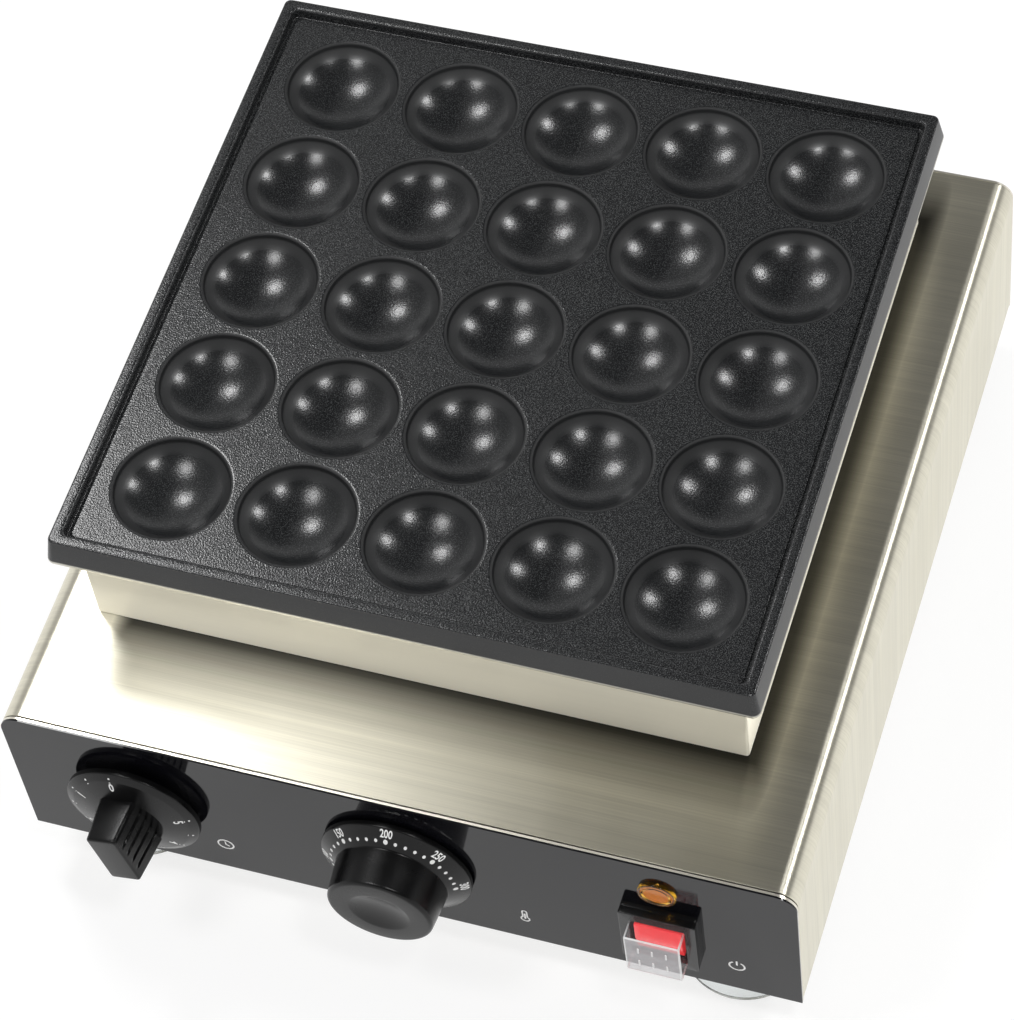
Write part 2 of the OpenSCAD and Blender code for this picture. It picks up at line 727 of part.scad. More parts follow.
module thermostat_bulb() color([0.74, 0.5, 0.32]) {
    thermostat_top = foot_h + knob_up + thermostat_h / 2;
    drop_y = panel_back_y + bracket_t + thermostat_d / 2;
    route_z = housing_top - tail_drop;
    translate([head_x - bulb_len / 2, head_y, bulb_z]) rotate([0, 90, 0]) cylinder(h = bulb_len, d = bulb_d);
    wire([[head_x - bulb_len / 2, head_y, bulb_z], [tail_x, head_y, bulb_z], [tail_x, head_y, route_z],
        [tail_x, drop_y, route_z], [0, drop_y, route_z], [0, drop_y, thermostat_top]], tail_d / 2);
}

module timer_body() color([0.88, 0.87, 0.84])
    on_panel(-timer_at, knob_up) control_body(timer_w, timer_h, timer_d);

module timer_shaft() color([0.7, 0.7, 0.68])
    on_panel(-timer_at, knob_up) rotate([0, 0, timer_turn]) control_shaft(timer_shaft_reach);

module timer_screws() color([0.75, 0.75, 0.73]) on_panel(-timer_at, knob_up) control_screws();

module timer_knob() color([0.12, 0.12, 0.12]) on_panel(-timer_at, knob_up) rotate([0, 0, timer_turn]) {
    skirt_r = timer_skirt_d / 2;
    rim_back = 3.4;
    rim_front = 6;
    rim_slope_w = 3.3;
    mark_r = skirt_r - rim_slope_w;
    mark_h = 7.5;
    root_r = 14;
    root_h = 10;
    wall = 2;
    nose_half_w = 6.4;
    nose_half_len = 14;
    root_half_w = 7.6;
    tail_half_w = 8.8;
    corner_r = 1.6;
    slice = 0.1;
    groove_r = 0.9;
    groove_fade = 1.1;
    groove_start = root_h + 0.5;
    grooves = 4;
    groove_gap = 5;
    difference() {
        union() {
            rotate_extrude($fn = 96) polygon([
                [skirt_r, rim_back], [skirt_r, rim_front], [mark_r, mark_h], [root_r, root_h], [0, root_h],
                [0, hub_start], [hub_d / 2, hub_start], [hub_d / 2, root_h - wall], [root_r, root_h - wall],
                [mark_r, mark_h - wall], [skirt_r - wall, rim_front - wall], [skirt_r - wall, rim_back]]);
            hull() for (side = [-1, 1], end = [-1, 1]) {
                half_w = end > 0 ? root_half_w : tail_half_w;
                nose_x = side * (nose_half_w - corner_r);
                nose_y = end * (nose_half_len - corner_r);
                translate([side * (half_w - corner_r), end * (root_r - corner_r), root_h - over])
                    cylinder(h = slice, r = corner_r, $fn = hull_fn);
                translate([nose_x, nose_y, timer_reach - slice])
                    cylinder(h = slice, r = corner_r, $fn = hull_fn);
            }
        }
        for (side = [-1, 1], i = [0 : grooves - 1]) {
            y = (i - (grooves - 1) / 2) * groove_gap;
            root_w = (root_half_w + tail_half_w) / 2 - y * (tail_half_w - root_half_w) / (2 * root_r);
            rod([side * (root_w + groove_r / 2), y, groove_start],
                [side * (nose_half_w + groove_fade * groove_r), y, timer_reach], groove_r);
        }
        shaft_socket(timer_shaft_reach);
    }
}

module lamp_lens() color([0.8, 0.5, 0.1, 0.9]) on_panel(switch_at, lamp_up) {
    lens_r = lens_d / 2;
    bevel = 0.4;
    bezel_w = 1.6;
    notch_w = 0.5;
    notch_depth = 0.6;
    face_drop = 0.2;
    bezel_r = lens_r - bezel_w;
    face = lens_reach - face_drop;
    rotate_extrude($fn = 96) polygon([
        [0, 0], [lens_r, 0], [lens_r, lens_reach - bevel], [lens_r - bevel, lens_reach],
        [bezel_r, lens_reach], [bezel_r - notch_w, lens_reach - notch_depth],
        [bezel_r - 2 * notch_w, face], [0, face]]);
}

module lamp_body() color([0.85, 0.84, 0.8]) on_panel(switch_at, lamp_up) {
    tab_w = 4;
    tab_x = 3;
    tab_len = 8;
    translate([0, 0, -lamp_len]) cylinder(h = lamp_len, d = lamp_d);
    for (side = [-1, 1]) translate([side * tab_x - tab_t / 2, -tab_w / 2, -lamp_len - tab_len])
        cube([tab_t, tab_w, tab_len + over]);
}

module lamp_clip() color([0.7, 0.7, 0.68])
    on_panel(switch_at, lamp_up, -overlay_t - sheet_t - clip_t) difference() {
        cylinder(h = clip_t, d = clip_d);
        translate([0, 0, -over]) cylinder(h = clip_t + 2 * over, d = lamp_d + 2 * fit);
    }

// A block centred on the switch, from depth a to depth b out of the panel.
module switch_block(w, h, a, b) {
    translate([-w / 2, -h / 2, a]) cube([w, h, b - a]);
}

module switch_body() color([0.07, 0.07, 0.07]) on_panel(switch_at, pivot_up) {
    tab_w = 6;
    tab_len = 9;
    tab_x = wire_gap / 2;
    tab_up = 9;
    difference() {
        union() {
            translate([0, frame_lift, 0]) switch_block(frame_w, frame_h, 0, flange_reach);
            switch_block(switch_body_w, switch_body_h, -switch_body_d, over);
        }
        switch_block(rocker_w + 2 * cavity_gap, cavity_h, -cavity_depth, flange_reach + over);
        translate([-rocker_w / 2 - trunnion_len - cavity_gap, 0, pivot_out]) rotate([0, 90, 0])
            cylinder(h = rocker_w + 2 * trunnion_len + 2 * cavity_gap, d = trunnion_d + 2 * run_fit);
    }
    for (side = [-1, 1], up = [-1, 1])
        translate([side * tab_x - tab_t / 2, up * tab_up - tab_w / 2, -switch_body_d - tab_len])
            cube([tab_t, tab_w, tab_len + over]);
}

module boot_frame() color([0.13, 0.13, 0.13]) on_panel(switch_at, pivot_up) difference() {
    lip = 2 * boot_lip + 2 * fit;
    translate([0, frame_lift, 0]) switch_block(frame_w, frame_h, flange_reach, frame_reach);
    switch_block(boot_w + 2 * fit, boot_h + 2 * fit, flange_reach - over, frame_reach + over);
    switch_block(boot_w + lip, boot_h + lip, flange_reach - over, flange_reach + boot_lip_t + fit);
}

module switch_boot() color([0.92, 0.93, 0.95, 0.4]) on_panel(switch_at, pivot_up) {
    rib_h = 4;
    rib_gap = 5.4;
    rib_up = 4.6;
    lip = 2 * boot_lip;
    difference() {
        union() {
            switch_block(boot_w, boot_h, flange_reach, boot_reach);
            switch_block(boot_w + lip, boot_h + lip, flange_reach, flange_reach + boot_lip_t);
        }
        switch_block(boot_w - 2 * boot_t, boot_h - 2 * boot_t, flange_reach - over, boot_reach - boot_t);
    }
    for (i = [-1 : 1], up = [-1, 1]) translate([i * rib_gap, up * rib_up - rib_h / 2, boot_reach])
        rotate([-90, 0, 0]) cylinder(h = rib_h, d = rib_d);
}

module power_rocker() color([0.85, 0.1, 0.12]) on_panel(switch_at, pivot_up, pivot_out) {
    face = rocker_face - pivot_out;
    half_h = rocker_h / 2;
    dip = half_h * tan(rocker_tilt);
    rotate([rocker_tilt, 0, 0]) {
        rotate([0, 90, 0]) translate([0, 0, -rocker_w / 2]) linear_extrude(rocker_w) polygon([
            [-face, 0], [-face + dip, half_h], [0, half_h], [rocker_back, half_h / 2],
            [rocker_back, -half_h / 2], [0, -half_h], [-face + dip, -half_h]]);
        translate([-rocker_w / 2 - trunnion_len, 0, 0]) rotate([0, 90, 0])
            cylinder(h = rocker_w + 2 * trunnion_len, d = trunnion_d);
    }
}

// Inlet and wiring

module terminal_block() color([0.9, 0.88, 0.82]) difference() {
    translate([block_x - block_w / 2, block_y - block_d / 2, base_top]) cube([block_w, block_d, block_h]);
    for (x = terminal_places) {
        translate([x, block_y, base_top + block_h - terminal_depth])
            cylinder(h = terminal_depth + over, d = terminal_d);
        translate([x, block_y + block_d / 2 + over, base_top + block_h / 2])
            rotate([90, 0, 0]) cylinder(h = terminal_depth + over, d = terminal_bore_d);
    }
}

module terminal_screws() color([0.75, 0.7, 0.45])
    for (x = terminal_places) translate([x, block_y, base_top + block_h - terminal_depth])
        cylinder(h = terminal_screw_h, d = terminal_d - 2 * fit);

module cable_gland() color([0.08, 0.08, 0.08])
    translate([block_x, back_y, foot_h + gland_up]) rotate([-90, 0, 0]) difference() {
        union() {
            cylinder(h = gland_hex_h, d = gland_hex_d, $fn = 6);
            translate([0, 0, gland_hex_h - over])
                cylinder(h = gland_reach - gland_hex_h + over - gland_nose_h, d = gland_cap_d);
            translate([0, 0, gland_reach - gland_nose_h])
                cylinder(h = gland_nose_h, d1 = gland_cap_d, d2 = gland_nose_d);
            translate([0, 0, -gland_in]) cylinder(h = gland_in + over, d = gland_thread_d);
        }
        translate([0, 0, -gland_in - over]) cylinder(h = gland_in + gland_reach + 2 * over, d = gland_bore_d);
    }

module gland_nut() color([0.1, 0.1, 0.1])
    translate([block_x, back_y - sheet_t - gland_nut_t, foot_h + gland_up]) rotate([-90, 0, 0]) difference() {
        cylinder(h = gland_nut_t, d = gland_hex_d, $fn = 6);
        translate([0, 0, -over]) cylinder(h = gland_nut_t + 2 * over, d = gland_thread_d + 2 * fit);
    }

module earth_bolt() color([0.78, 0.7, 0.4])
    translate([block_x - earth_at, block_y, base_z]) {
        cylinder(h = base_t + earth_len, d = screw_d);
        translate([0, 0, base_t]) cylinder(h = earth_hex_h, d = 2 * screw_d, $fn = 6);
    }

module heater_leads() color([0.85, 0.83, 0.78]) {
    left = lead_places[0];
    right = lead_places[1];
    low_left = foot_h + knob_up + heater_lead_up;
    low_right = foot_h + pivot_up + heater_lead_up;
    wire([[left[0], left[1], pin_end_z], [left[0], left[1], low_left], [-wire_gap, left[1], low_left],
        [-wire_gap, thermostat_back_y, low_left]], wire_d / 2);
    wire([[right[0], right[1], pin_end_z], [right[0], right[1], low_right], [switch_at, right[1], low_right],
        [switch_at, switch_back_y, low_right]], wire_d / 2);
}

module supply_leads() color([0.45, 0.28, 0.16]) {
    turn_y = switch_back_y + supply_turn;
    block_front = block_y - block_d / 2;
    wire_z = base_top + block_h / 2;
    up_z = foot_h + pivot_up;
    for (side = [-1, 1]) {
        x = block_x + side * wire_gap / 2;
        wire([[x, block_front, wire_z], [x, turn_y, wire_z], [x, turn_y, up_z], [x, switch_back_y, up_z]],
            wire_d / 2);
    }
}

griddle_plate();
heater_box();
housing_cover();
front_panel();
panel_overlay();
rear_panel();
base_plate();
foot_front_left();
foot_front_right();
foot_rear_left();
foot_rear_right();
foot_bolts();
foot_nuts();
heating_element();
element_bars();
bar_nuts();
reflector_tray();
insulation_pad();
plate_studs();
plate_nuts();
thermostat_body();
thermostat_shaft();
thermostat_knob();
thermostat_screws();
thermostat_bulb();
timer_body();
timer_shaft();
timer_knob();
timer_screws();
lamp_lens();
lamp_body();
lamp_clip();
switch_body();
boot_frame();
switch_boot();
power_rocker();
terminal_block();
terminal_screws();
cable_gland();
gland_nut();
earth_bolt();
heater_leads();
supply_leads();
base_screws();
rear_screws();
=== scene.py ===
# %% [markdown]
# # A table-top mini pancake maker
#
# The machine's solids come from its construction model. They say where every piece is and what moves.
# This lesson gives those solids their looks: cast iron with a black coat, brushed steel, moulded plastic.
# A solid whose shape is already right only gets a finish. A solid with hard, sharp edges gets a finer
# surface in its place, worked out with numpy in the same frame.

# %% Load the frame
import json
import math

import bmesh
import bpy
import numpy as np
from mathutils import Matrix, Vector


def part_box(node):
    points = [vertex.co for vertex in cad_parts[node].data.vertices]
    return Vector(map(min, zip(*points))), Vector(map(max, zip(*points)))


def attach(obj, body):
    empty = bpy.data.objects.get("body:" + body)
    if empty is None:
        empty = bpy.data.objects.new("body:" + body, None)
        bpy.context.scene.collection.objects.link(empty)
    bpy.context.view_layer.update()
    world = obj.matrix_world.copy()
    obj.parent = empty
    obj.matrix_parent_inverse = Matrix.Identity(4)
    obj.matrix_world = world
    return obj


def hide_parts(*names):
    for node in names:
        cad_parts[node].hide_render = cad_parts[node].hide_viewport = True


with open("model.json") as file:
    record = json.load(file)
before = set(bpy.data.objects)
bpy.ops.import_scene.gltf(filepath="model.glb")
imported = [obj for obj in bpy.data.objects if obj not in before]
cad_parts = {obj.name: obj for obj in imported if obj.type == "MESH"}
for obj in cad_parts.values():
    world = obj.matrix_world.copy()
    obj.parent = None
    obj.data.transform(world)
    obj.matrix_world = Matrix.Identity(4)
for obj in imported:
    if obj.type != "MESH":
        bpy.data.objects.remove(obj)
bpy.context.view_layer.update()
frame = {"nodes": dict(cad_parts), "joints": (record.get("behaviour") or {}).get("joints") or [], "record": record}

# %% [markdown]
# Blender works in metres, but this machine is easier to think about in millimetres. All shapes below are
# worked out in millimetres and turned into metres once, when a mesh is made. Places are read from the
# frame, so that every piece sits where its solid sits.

MM = 0.001


def node_box(node):
    """Lowest and highest corner of a solid, in millimetres."""
    low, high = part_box(node)
    return np.array(low) / MM, np.array(high) / MM


pivots = {joint["name"]: np.array(joint["pos_m"]) / MM for joint in frame["joints"]}
slot_of = {part["node"]: part["material_slot"] for part in frame["record"]["subparts"]}

# %% [markdown]
# The photograph was taken from high on the right with a long lens. The camera is given as the place of the
# eye, the point on the plate that it looks at, a small roll and the focal length. A camera looks along its
# own -Z axis, so its matrix is built from the directions to the right, up and back.

# %% Camera
eye = np.array([356.9, -775.4, 1325.8])
aim = np.array([20.1, -61.1, 161.3])
roll = math.radians(-9.38)
focal_length = 134.41


def unit(vector):
    """The same direction with length one."""
    return vector / np.linalg.norm(vector)


def look_matrix(place, target, tilt=0.0):
    """Matrix of an object at place whose -Z axis points at target, turned by tilt about that axis."""
    back = unit(place - target)
    level = unit(np.cross([0.0, 0.0, 1.0], back))
    upright = np.cross(back, level)
    right = math.cos(tilt) * level + math.sin(tilt) * upright
    matrix = np.eye(4)
    matrix[:3, :3] = np.stack([right, np.cross(back, right), back], 1)
    matrix[:3, 3] = place * MM
    return Matrix(matrix.tolist())


camera_data = bpy.data.cameras.new("camera")
camera_data.lens = focal_length
camera_data.sensor_width = 36.0
camera_data.clip_end = 50.0
camera = bpy.data.objects.new("camera", camera_data)
camera.matrix_world = look_matrix(eye, aim, roll)
bpy.context.scene.collection.objects.link(camera)
bpy.context.scene.camera = camera
bpy.context.scene.view_settings.view_transform = "Standard"
print("camera:", round(float(np.linalg.norm(eye - aim))), "mm from the plate")

# %% [markdown]
# Node trees get long when every node takes five lines. These helpers add one node each and fill its inputs,
# either with plain values or with the output of another node.

# %% Node helpers


def fill(tree, socket, value):
    """Gives an input a plain value, or links it to another node's output."""
    if isinstance(value, bpy.types.NodeSocket):
        tree.links.new(value, socket)
    else:
        socket.default_value = value


def add(tree, kind, inputs=None, **settings):
    """Adds a node: settings become its properties, and inputs are values or other nodes' sockets."""
    node = tree.nodes.new(kind)
    for key, value in settings.items():
        setattr(node, key, value)
    for key, value in (inputs or {}).items():
        fill(tree, node.inputs[key], value)
    return node


def math_node(tree, operation, a, b=0.0):
    """One step of arithmetic on one or two values or sockets."""
    return add(tree, "ShaderNodeMath", {0: a, 1: b}, operation=operation).outputs[0]


def remap(tree, value, low, high, start=0.0, end=1.0, **settings):
    """Stretches a value from start..end to low..high, and holds it at those ends outside."""
    inputs = {"Value": value, "From Min": start, "From Max": end, "To Min": low, "To Max": high}
    return add(tree, "ShaderNodeMapRange", inputs, **settings).outputs[0]


def blend(tree, one, two, share):
    """The weighted sum of two values: share of the first and the rest of the second."""
    first = math_node(tree, "MULTIPLY", one, share)
    return math_node(tree, "ADD", first, math_node(tree, "MULTIPLY", two, 1.0 - share))


def mix_colour(tree, share, one, two):
    """A blend of two colours, by a share from 0 to 1."""
    return add(tree, "ShaderNodeMix", {0: share, 6: one, 7: two}, data_type="RGBA").outputs[2]


def noise(tree, place, scale, detail=0.0, rough=0.5, **inputs):
    """Noise with some finer octaves, each rough times as strong as the one before."""
    inputs.update({"Vector": place, "Scale": scale, "Detail": detail, "Roughness": rough})
    return add(tree, "ShaderNodeTexNoise", inputs).outputs[0]


def seen_rays(tree):
    """1 for the rays that show a surface as it is: camera, glossy and transmission. 0 for the others."""
    rays = add(tree, "ShaderNodeLightPath").outputs
    direct = math_node(tree, "MAXIMUM", rays["Is Camera Ray"], rays["Is Glossy Ray"])
    return math_node(tree, "MAXIMUM", direct, rays["Is Transmission Ray"])


def new_group(name, inputs, outputs):
    """An empty node group with named float inputs (and a Vector), and named float outputs."""
    tree = bpy.data.node_groups.new(name, "ShaderNodeTree")
    tree.interface.new_socket("Vector", in_out="INPUT", socket_type="NodeSocketVector")
    for key, value in inputs.items():
        socket = tree.interface.new_socket(key, in_out="INPUT", socket_type="NodeSocketFloat")
        socket.default_value = value
    for key in outputs:
        tree.interface.new_socket(key, in_out="OUTPUT", socket_type="NodeSocketFloat")
    return tree, tree.nodes.new("NodeGroupInput").outputs, tree.nodes.new("NodeGroupOutput").inputs


print("node helpers ready")

# %% [markdown]
# Three effects return on many pieces, so each is a node group that is built once.
#
# - fine_grain is the pebbled skin of a sprayed coat or of moulded plastic: two noises of different size.
# - brushed_lines is the mark of a belt grinder: noise that is stretched a hundredfold along the lines.
# - handling_haze is what cloths and fingers leave on a smooth face: slow, cloudy changes of gloss.

# %% Shared effects as node groups


def make_fine_grain():
    """Pebbles: a coarse and a fine noise added together, and flecks where the fine one peaks."""
    tree, given, result = new_group("fine_grain", {"Size": 900.0}, ["Height", "Fleck"])
    coarse = noise(tree, given["Vector"], given["Size"])
    fine = noise(tree, given["Vector"], math_node(tree, "MULTIPLY", given["Size"], 1.7))
    fill(tree, result["Height"], blend(tree, coarse, fine, 0.65))
    fill(tree, result["Fleck"], remap(tree, fine, 0.0, 1.0, 0.5, 0.75))
    return tree


def make_brushed_lines():
    """Lines along the vector's X: noise with few waves along X and many across it."""
    tree, given, result = new_group("brushed_lines", {"Along": 9.0, "Across": 1500.0}, ["Tone", "Height"])
    along, across = given["Along"], given["Across"]
    waves = add(tree, "ShaderNodeCombineXYZ", {0: along, 1: across, 2: across}).outputs[0]
    place = add(tree, "ShaderNodeVectorMath", {0: given["Vector"], 1: waves}, operation="MULTIPLY").outputs[0]
    hair = noise(tree, place, 1.0, 3.0, 0.6)
    band = noise(tree, place, 0.16, 2.0)
    fill(tree, result["Tone"], blend(tree, hair, band, 0.6))
    fill(tree, result["Height"], hair)
    return tree


def make_handling_haze():
    """Clouds with soft edges, from 0 where the face is clean to 1 where it is hazy."""
    tree, given, result = new_group("handling_haze", {"Size": 30.0}, ["Haze"])
    cloud = noise(tree, given["Vector"], given["Size"], 4.0, 0.62, Distortion=0.4)
    fill(tree, result["Haze"], remap(tree, cloud, 0.0, 1.0, 0.35, 0.7, interpolation_type="SMOOTHSTEP"))
    return tree


fine_grain = make_fine_grain()
brushed_lines = make_brushed_lines()
handling_haze = make_handling_haze()
print("node groups:", len(bpy.data.node_groups))

# %% [markdown]
# Every finish starts from the same Principled shader. Numbers that are the same all over the piece go
# straight onto its sockets. What changes over the surface comes from the groups and feeds colour,
# roughness and a bump node. All patterns read Object coordinates, because each piece sits at the origin.

# %% The start of every finish
looks = {}


def feed(tree, shader, **values):
    """Fills some of the shader's sockets. An underscore in a socket's name stands for a space."""
    for key, value in values.items():
        fill(tree, shader.inputs[key.replace("_", " ")], value)


def start_look(slot, rough, metal=0.0, **constants):
    """A new finish for a material slot. Returns its node tree, its shader and its Object coordinates."""
    look = bpy.data.materials.new(slot)
    look.use_nodes = True
    looks[slot] = look
    tree = look.node_tree
    shader = tree.nodes["Principled BSDF"]
    feed(tree, shader, Roughness=rough, Metallic=metal, **constants)
    return tree, shader, add(tree, "ShaderNodeTexCoord").outputs["Object"]


def feed_bump(tree, shader, height, depth):
    """Turns a height from 0 to 1 into a bump of the given depth in millimetres."""
    bump = add(tree, "ShaderNodeBump", {"Height": height, "Distance": depth * MM})
    feed(tree, shader, Normal=bump.outputs[0])


def effect(tree, group, place, **inputs):
    """The outputs of a shared group at a place. Sizes and waves are counted to the metre."""
    return add(tree, "ShaderNodeGroup", {"Vector": place, **inputs}, node_tree=group).outputs


def haze_at(tree, place, size):
    """The haze from the group handling_haze, with size clouds to the metre."""
    return effect(tree, handling_haze, place, Size=size)["Haze"]


def vertex_number(tree, name):
    """A number that each vertex carries."""
    return add(tree, "ShaderNodeAttribute", attribute_name=name).outputs["Fac"]


def axes_of(tree, place):
    """The three coordinates of a place, by name."""
    return add(tree, "ShaderNodeSeparateXYZ", {0: place}).outputs


def shades(colour, spread):
    """A darker and a lighter shade of a colour."""
    factors = (1.0 - spread, 1.0 + spread)
    return [[min(1.0, channel * factor) for channel in colour] + [1.0] for factor in factors]


print("finishes start from", "Principled BSDF")

# %% [markdown]
# The plate is cast and sprayed with a black non-stick coat. The coat is pebbled where it lies thick on
# flat faces, smooth on steep walls, where it runs, and dull on the lips of the bowls, where it is thin.
# Each vertex carries a number called grain, which scales the bump and sets the gloss. A second number
# called bare shows the metal along the ground lower edge.

# %% Finish of the cast plate


def make_plate_coat(pebble=1600.0, pebble_depth=0.1, dull=0.55, glossy=0.22, glossy_grain=0.25):
    """Black coat: grain sets the depth of the pebbles and the gloss, and bare uncovers the metal."""
    tree, shader, place = start_look("plate_coat", 0.28)
    pebbles = effect(tree, fine_grain, place, Size=pebble)
    grain = vertex_number(tree, "grain")
    bare = vertex_number(tree, "bare")
    haze = haze_at(tree, place, 16.0)
    black = mix_colour(tree, haze, (0.005, 0.0055, 0.0062, 1), (0.007, 0.0077, 0.0084, 1))
    flecks = math_node(tree, "MULTIPLY", pebbles["Fleck"], grain)
    coat = mix_colour(tree, flecks, black, (0.057, 0.059, 0.06, 1))
    feed(tree, shader, Base_Color=mix_colour(tree, bare, coat, (0.62, 0.6, 0.54, 1)), Metallic=bare,
         Roughness=remap(tree, grain, dull, glossy, 0.0, glossy_grain))
    feed_bump(tree, shader, math_node(tree, "MULTIPLY", pebbles["Height"], grain), pebble_depth)


make_plate_coat()
print("plate coat:", len(looks["plate_coat"].node_tree.nodes), "nodes")

# %% [markdown]
# The steel sheets are ground with a belt, so fine lines run along each sheet and around its bends. One
# coordinate lies across the lines, and the other two are added to give the distance along them. On the
# cover and the box the shine is also stretched across the lines: the shader's anisotropy does that, along
# the tangent of the piece's UV map. Around the foot of the box the cover carries a painted shade: its tone
# is blended towards black there, and the painted shade fades within a finger's breadth.

# %% Finish of the steel sheets


def past_range(tree, axis, low, high, reach):
    """How far a coordinate is past the nearer end of a range in millimetres, as a share of reach."""
    from_middle = math_node(tree, "ABSOLUTE", math_node(tree, "SUBTRACT", axis, (low + high) / 2.0 * MM))
    outside = math_node(tree, "SUBTRACT", from_middle, (high - low) / 2.0 * MM)
    return math_node(tree, "DIVIDE", math_node(tree, "MAXIMUM", outside, 0.0), reach * MM)


def heat_tint(tree, place, x_range, y_range, darkest):
    """Painted shade beside the box: a factor that grows from darkest, within a rectangle on the sheet, to 1 at its
    reach outside.
    """
    axes = axes_of(tree, place)
    beside = math_node(tree, "POWER", past_range(tree, axes["X"], *x_range), 4.0)
    before = math_node(tree, "POWER", past_range(tree, axes["Y"], *y_range), 2.0)
    return remap(tree, math_node(tree, "SQRT", math_node(tree, "ADD", beside, before)), darkest, 1.0)


def make_steel(slot, colour, rough, across, contrast, depth, stretch=0.0, across_waves=1500.0, tint=None):
    """Brushed metal: lines change its tone by contrast and its height by depth, and haze dulls it."""
    tree, shader, place = start_look(slot, rough, 1.0, Anisotropic=stretch)
    axes = axes_of(tree, place)
    run = math_node(tree, "ADD", *(axes[axis] for axis in "XYZ" if axis != across))
    along_lines = add(tree, "ShaderNodeCombineXYZ", {0: run, 1: axes[across]}).outputs[0]
    lines = effect(tree, brushed_lines, along_lines, Across=across_waves)
    tone = mix_colour(tree, lines["Tone"], *shades(colour, contrast))
    # Painted shade: near the foot of the box the tone is blended towards black, standing in for the box's shade.
    if tint:
        tone = mix_colour(tree, heat_tint(tree, place, *tint), (0.0, 0.0, 0.0, 1), tone)
    haze = haze_at(tree, place, 14.0)
    feed(tree, shader, Base_Color=tone, Roughness=remap(tree, haze, rough, rough + 0.06))
    feed_bump(tree, shader, lines["Height"], depth)
    if stretch:
        tangent = add(tree, "ShaderNodeTangent", direction_type="UV_MAP", uv_map="lines")
        feed(tree, shader, Tangent=tangent.outputs[0])


box_low, box_high = node_box("heater_box")
# Rectangle, reach and darkest factor of the painted shade around the foot of the heater box on the cover.
shade_in_left, shade_past_right, shade_past_ends = 15.35, 1.85, 1.9
shade_reach_x, shade_reach_y, shade_darkest = 8.5, 25.0, 0.08
painted_shade_area = ((box_low[0] + shade_in_left, box_high[0] + shade_past_right, shade_reach_x),
          (box_low[1] - shade_past_ends, box_high[1] + shade_past_ends, shade_reach_y), shade_darkest)
make_steel("cover_steel", (0.76, 0.73, 0.61), 0.35, "Y", 0.3, 0.006, stretch=0.93, tint=painted_shade_area)
make_steel("box_steel", (0.97, 0.93, 0.8), 0.55, "Z", 0.03, 0.001, stretch=0.9)
make_steel("panel_steel", (0.78, 0.745, 0.65), 0.3, "Z", 0.12, 0.004)
make_steel("base_steel", (0.66, 0.65, 0.62), 0.38, "Y", 0.1, 0.004)
make_steel("fastener_steel", (0.68, 0.67, 0.63), 0.32, "Z", 0.1, 0.003, across_waves=2600.0)
make_steel("copper_tube", (0.74, 0.47, 0.29), 0.34, "X", 0.12, 0.003)
make_steel("element_steel", (0.3, 0.27, 0.25), 0.42, "Z", 0.25, 0.004)
print("steel finishes:", [slot for slot in looks if slot.endswith("steel")])

# %% [markdown]
# Plastic parts come out of a mould with a fine skin. They differ in colour, in gloss and in how coarse the
# skin is, so one function makes them all. The overlay on the panel is the exception at the glossy end: it
# is a printed sheet with hardly any skin, and the room shows in it. The rocker has a painted glow: a little
# red emission stands in for the light that falls into it and passes through.

# %% Finish of the plastic pieces


def make_plastic(slot, colour, rough, size, depth, mottle=0.15, **constants):
    """Moulded plastic: grains of the given size and depth, and haze that changes tone and gloss."""
    tree, shader, place = start_look(slot, rough, **constants)
    haze = haze_at(tree, place, 45.0)
    feed(tree, shader, Base_Color=mix_colour(tree, haze, *shades(colour, mottle)),
         Roughness=remap(tree, haze, rough * 0.88, rough * 1.12))
    feed_bump(tree, shader, effect(tree, fine_grain, place, Size=size)["Height"], depth)


make_plastic("overlay_gloss", (0.004, 0.004, 0.0055), 0.07, 120.0, 0.003, 0.1, IOR=1.36)
make_plastic("knob_black", (0.003, 0.003, 0.0032), 0.26, 2200.0, 0.02, 0.2, IOR=1.36)
make_plastic("dial_print", (0.93, 0.93, 0.92), 0.5, 2600.0, 0.01, 0.04)
make_plastic("switch_black", (0.007, 0.007, 0.0073), 0.16, 900.0, 0.006, 0.2, IOR=1.45)
# Painted glow: the rocker is no lamp, and its emission stands in for light passing through the red plastic.
make_plastic("rocker_red", (0.9, 0.05, 0.06), 0.22, 900.0, 0.004, 0.08,
             Emission_Color=(0.4, 0.012, 0.015, 1.0), Emission_Strength=1.0)
make_plastic("gland_black", (0.02, 0.02, 0.021), 0.45, 2000.0, 0.03, 0.2)
make_plastic("control_case", (0.8, 0.78, 0.71), 0.45, 1500.0, 0.02, 0.06)
make_plastic("wire_cover", (0.72, 0.69, 0.62), 0.55, 1300.0, 0.03, 0.1)
make_plastic("insulation", (0.86, 0.84, 0.77), 0.9, 500.0, 0.5, 0.1)
print("plastic finishes:", len(looks), "finishes so far")

# %% [markdown]
# Three kinds of piece let light through. The lens and the feet are solid and bend the light, so they are
# glass to the shader, and shadow rays pass them with their colour. The boot over the switch is a thin clear
# skin: it is mostly transparent, whiter along its round edges, and its front is frosted. Alpha does that.

# %% Finish of the clear pieces


def let_shadows_through(tree, shader, tint):
    """Lets shadow rays pass a glassy piece, tinted, so that what lies behind it is lit."""
    shadow = add(tree, "ShaderNodeLightPath").outputs["Is Shadow Ray"]
    passing = add(tree, "ShaderNodeBsdfTransparent", {"Color": tint}).outputs[0]
    mix = add(tree, "ShaderNodeMixShader", {0: shadow, 1: shader.outputs[0], 2: passing}).outputs[0]
    fill(tree, tree.nodes["Material Output"].inputs["Surface"], mix)


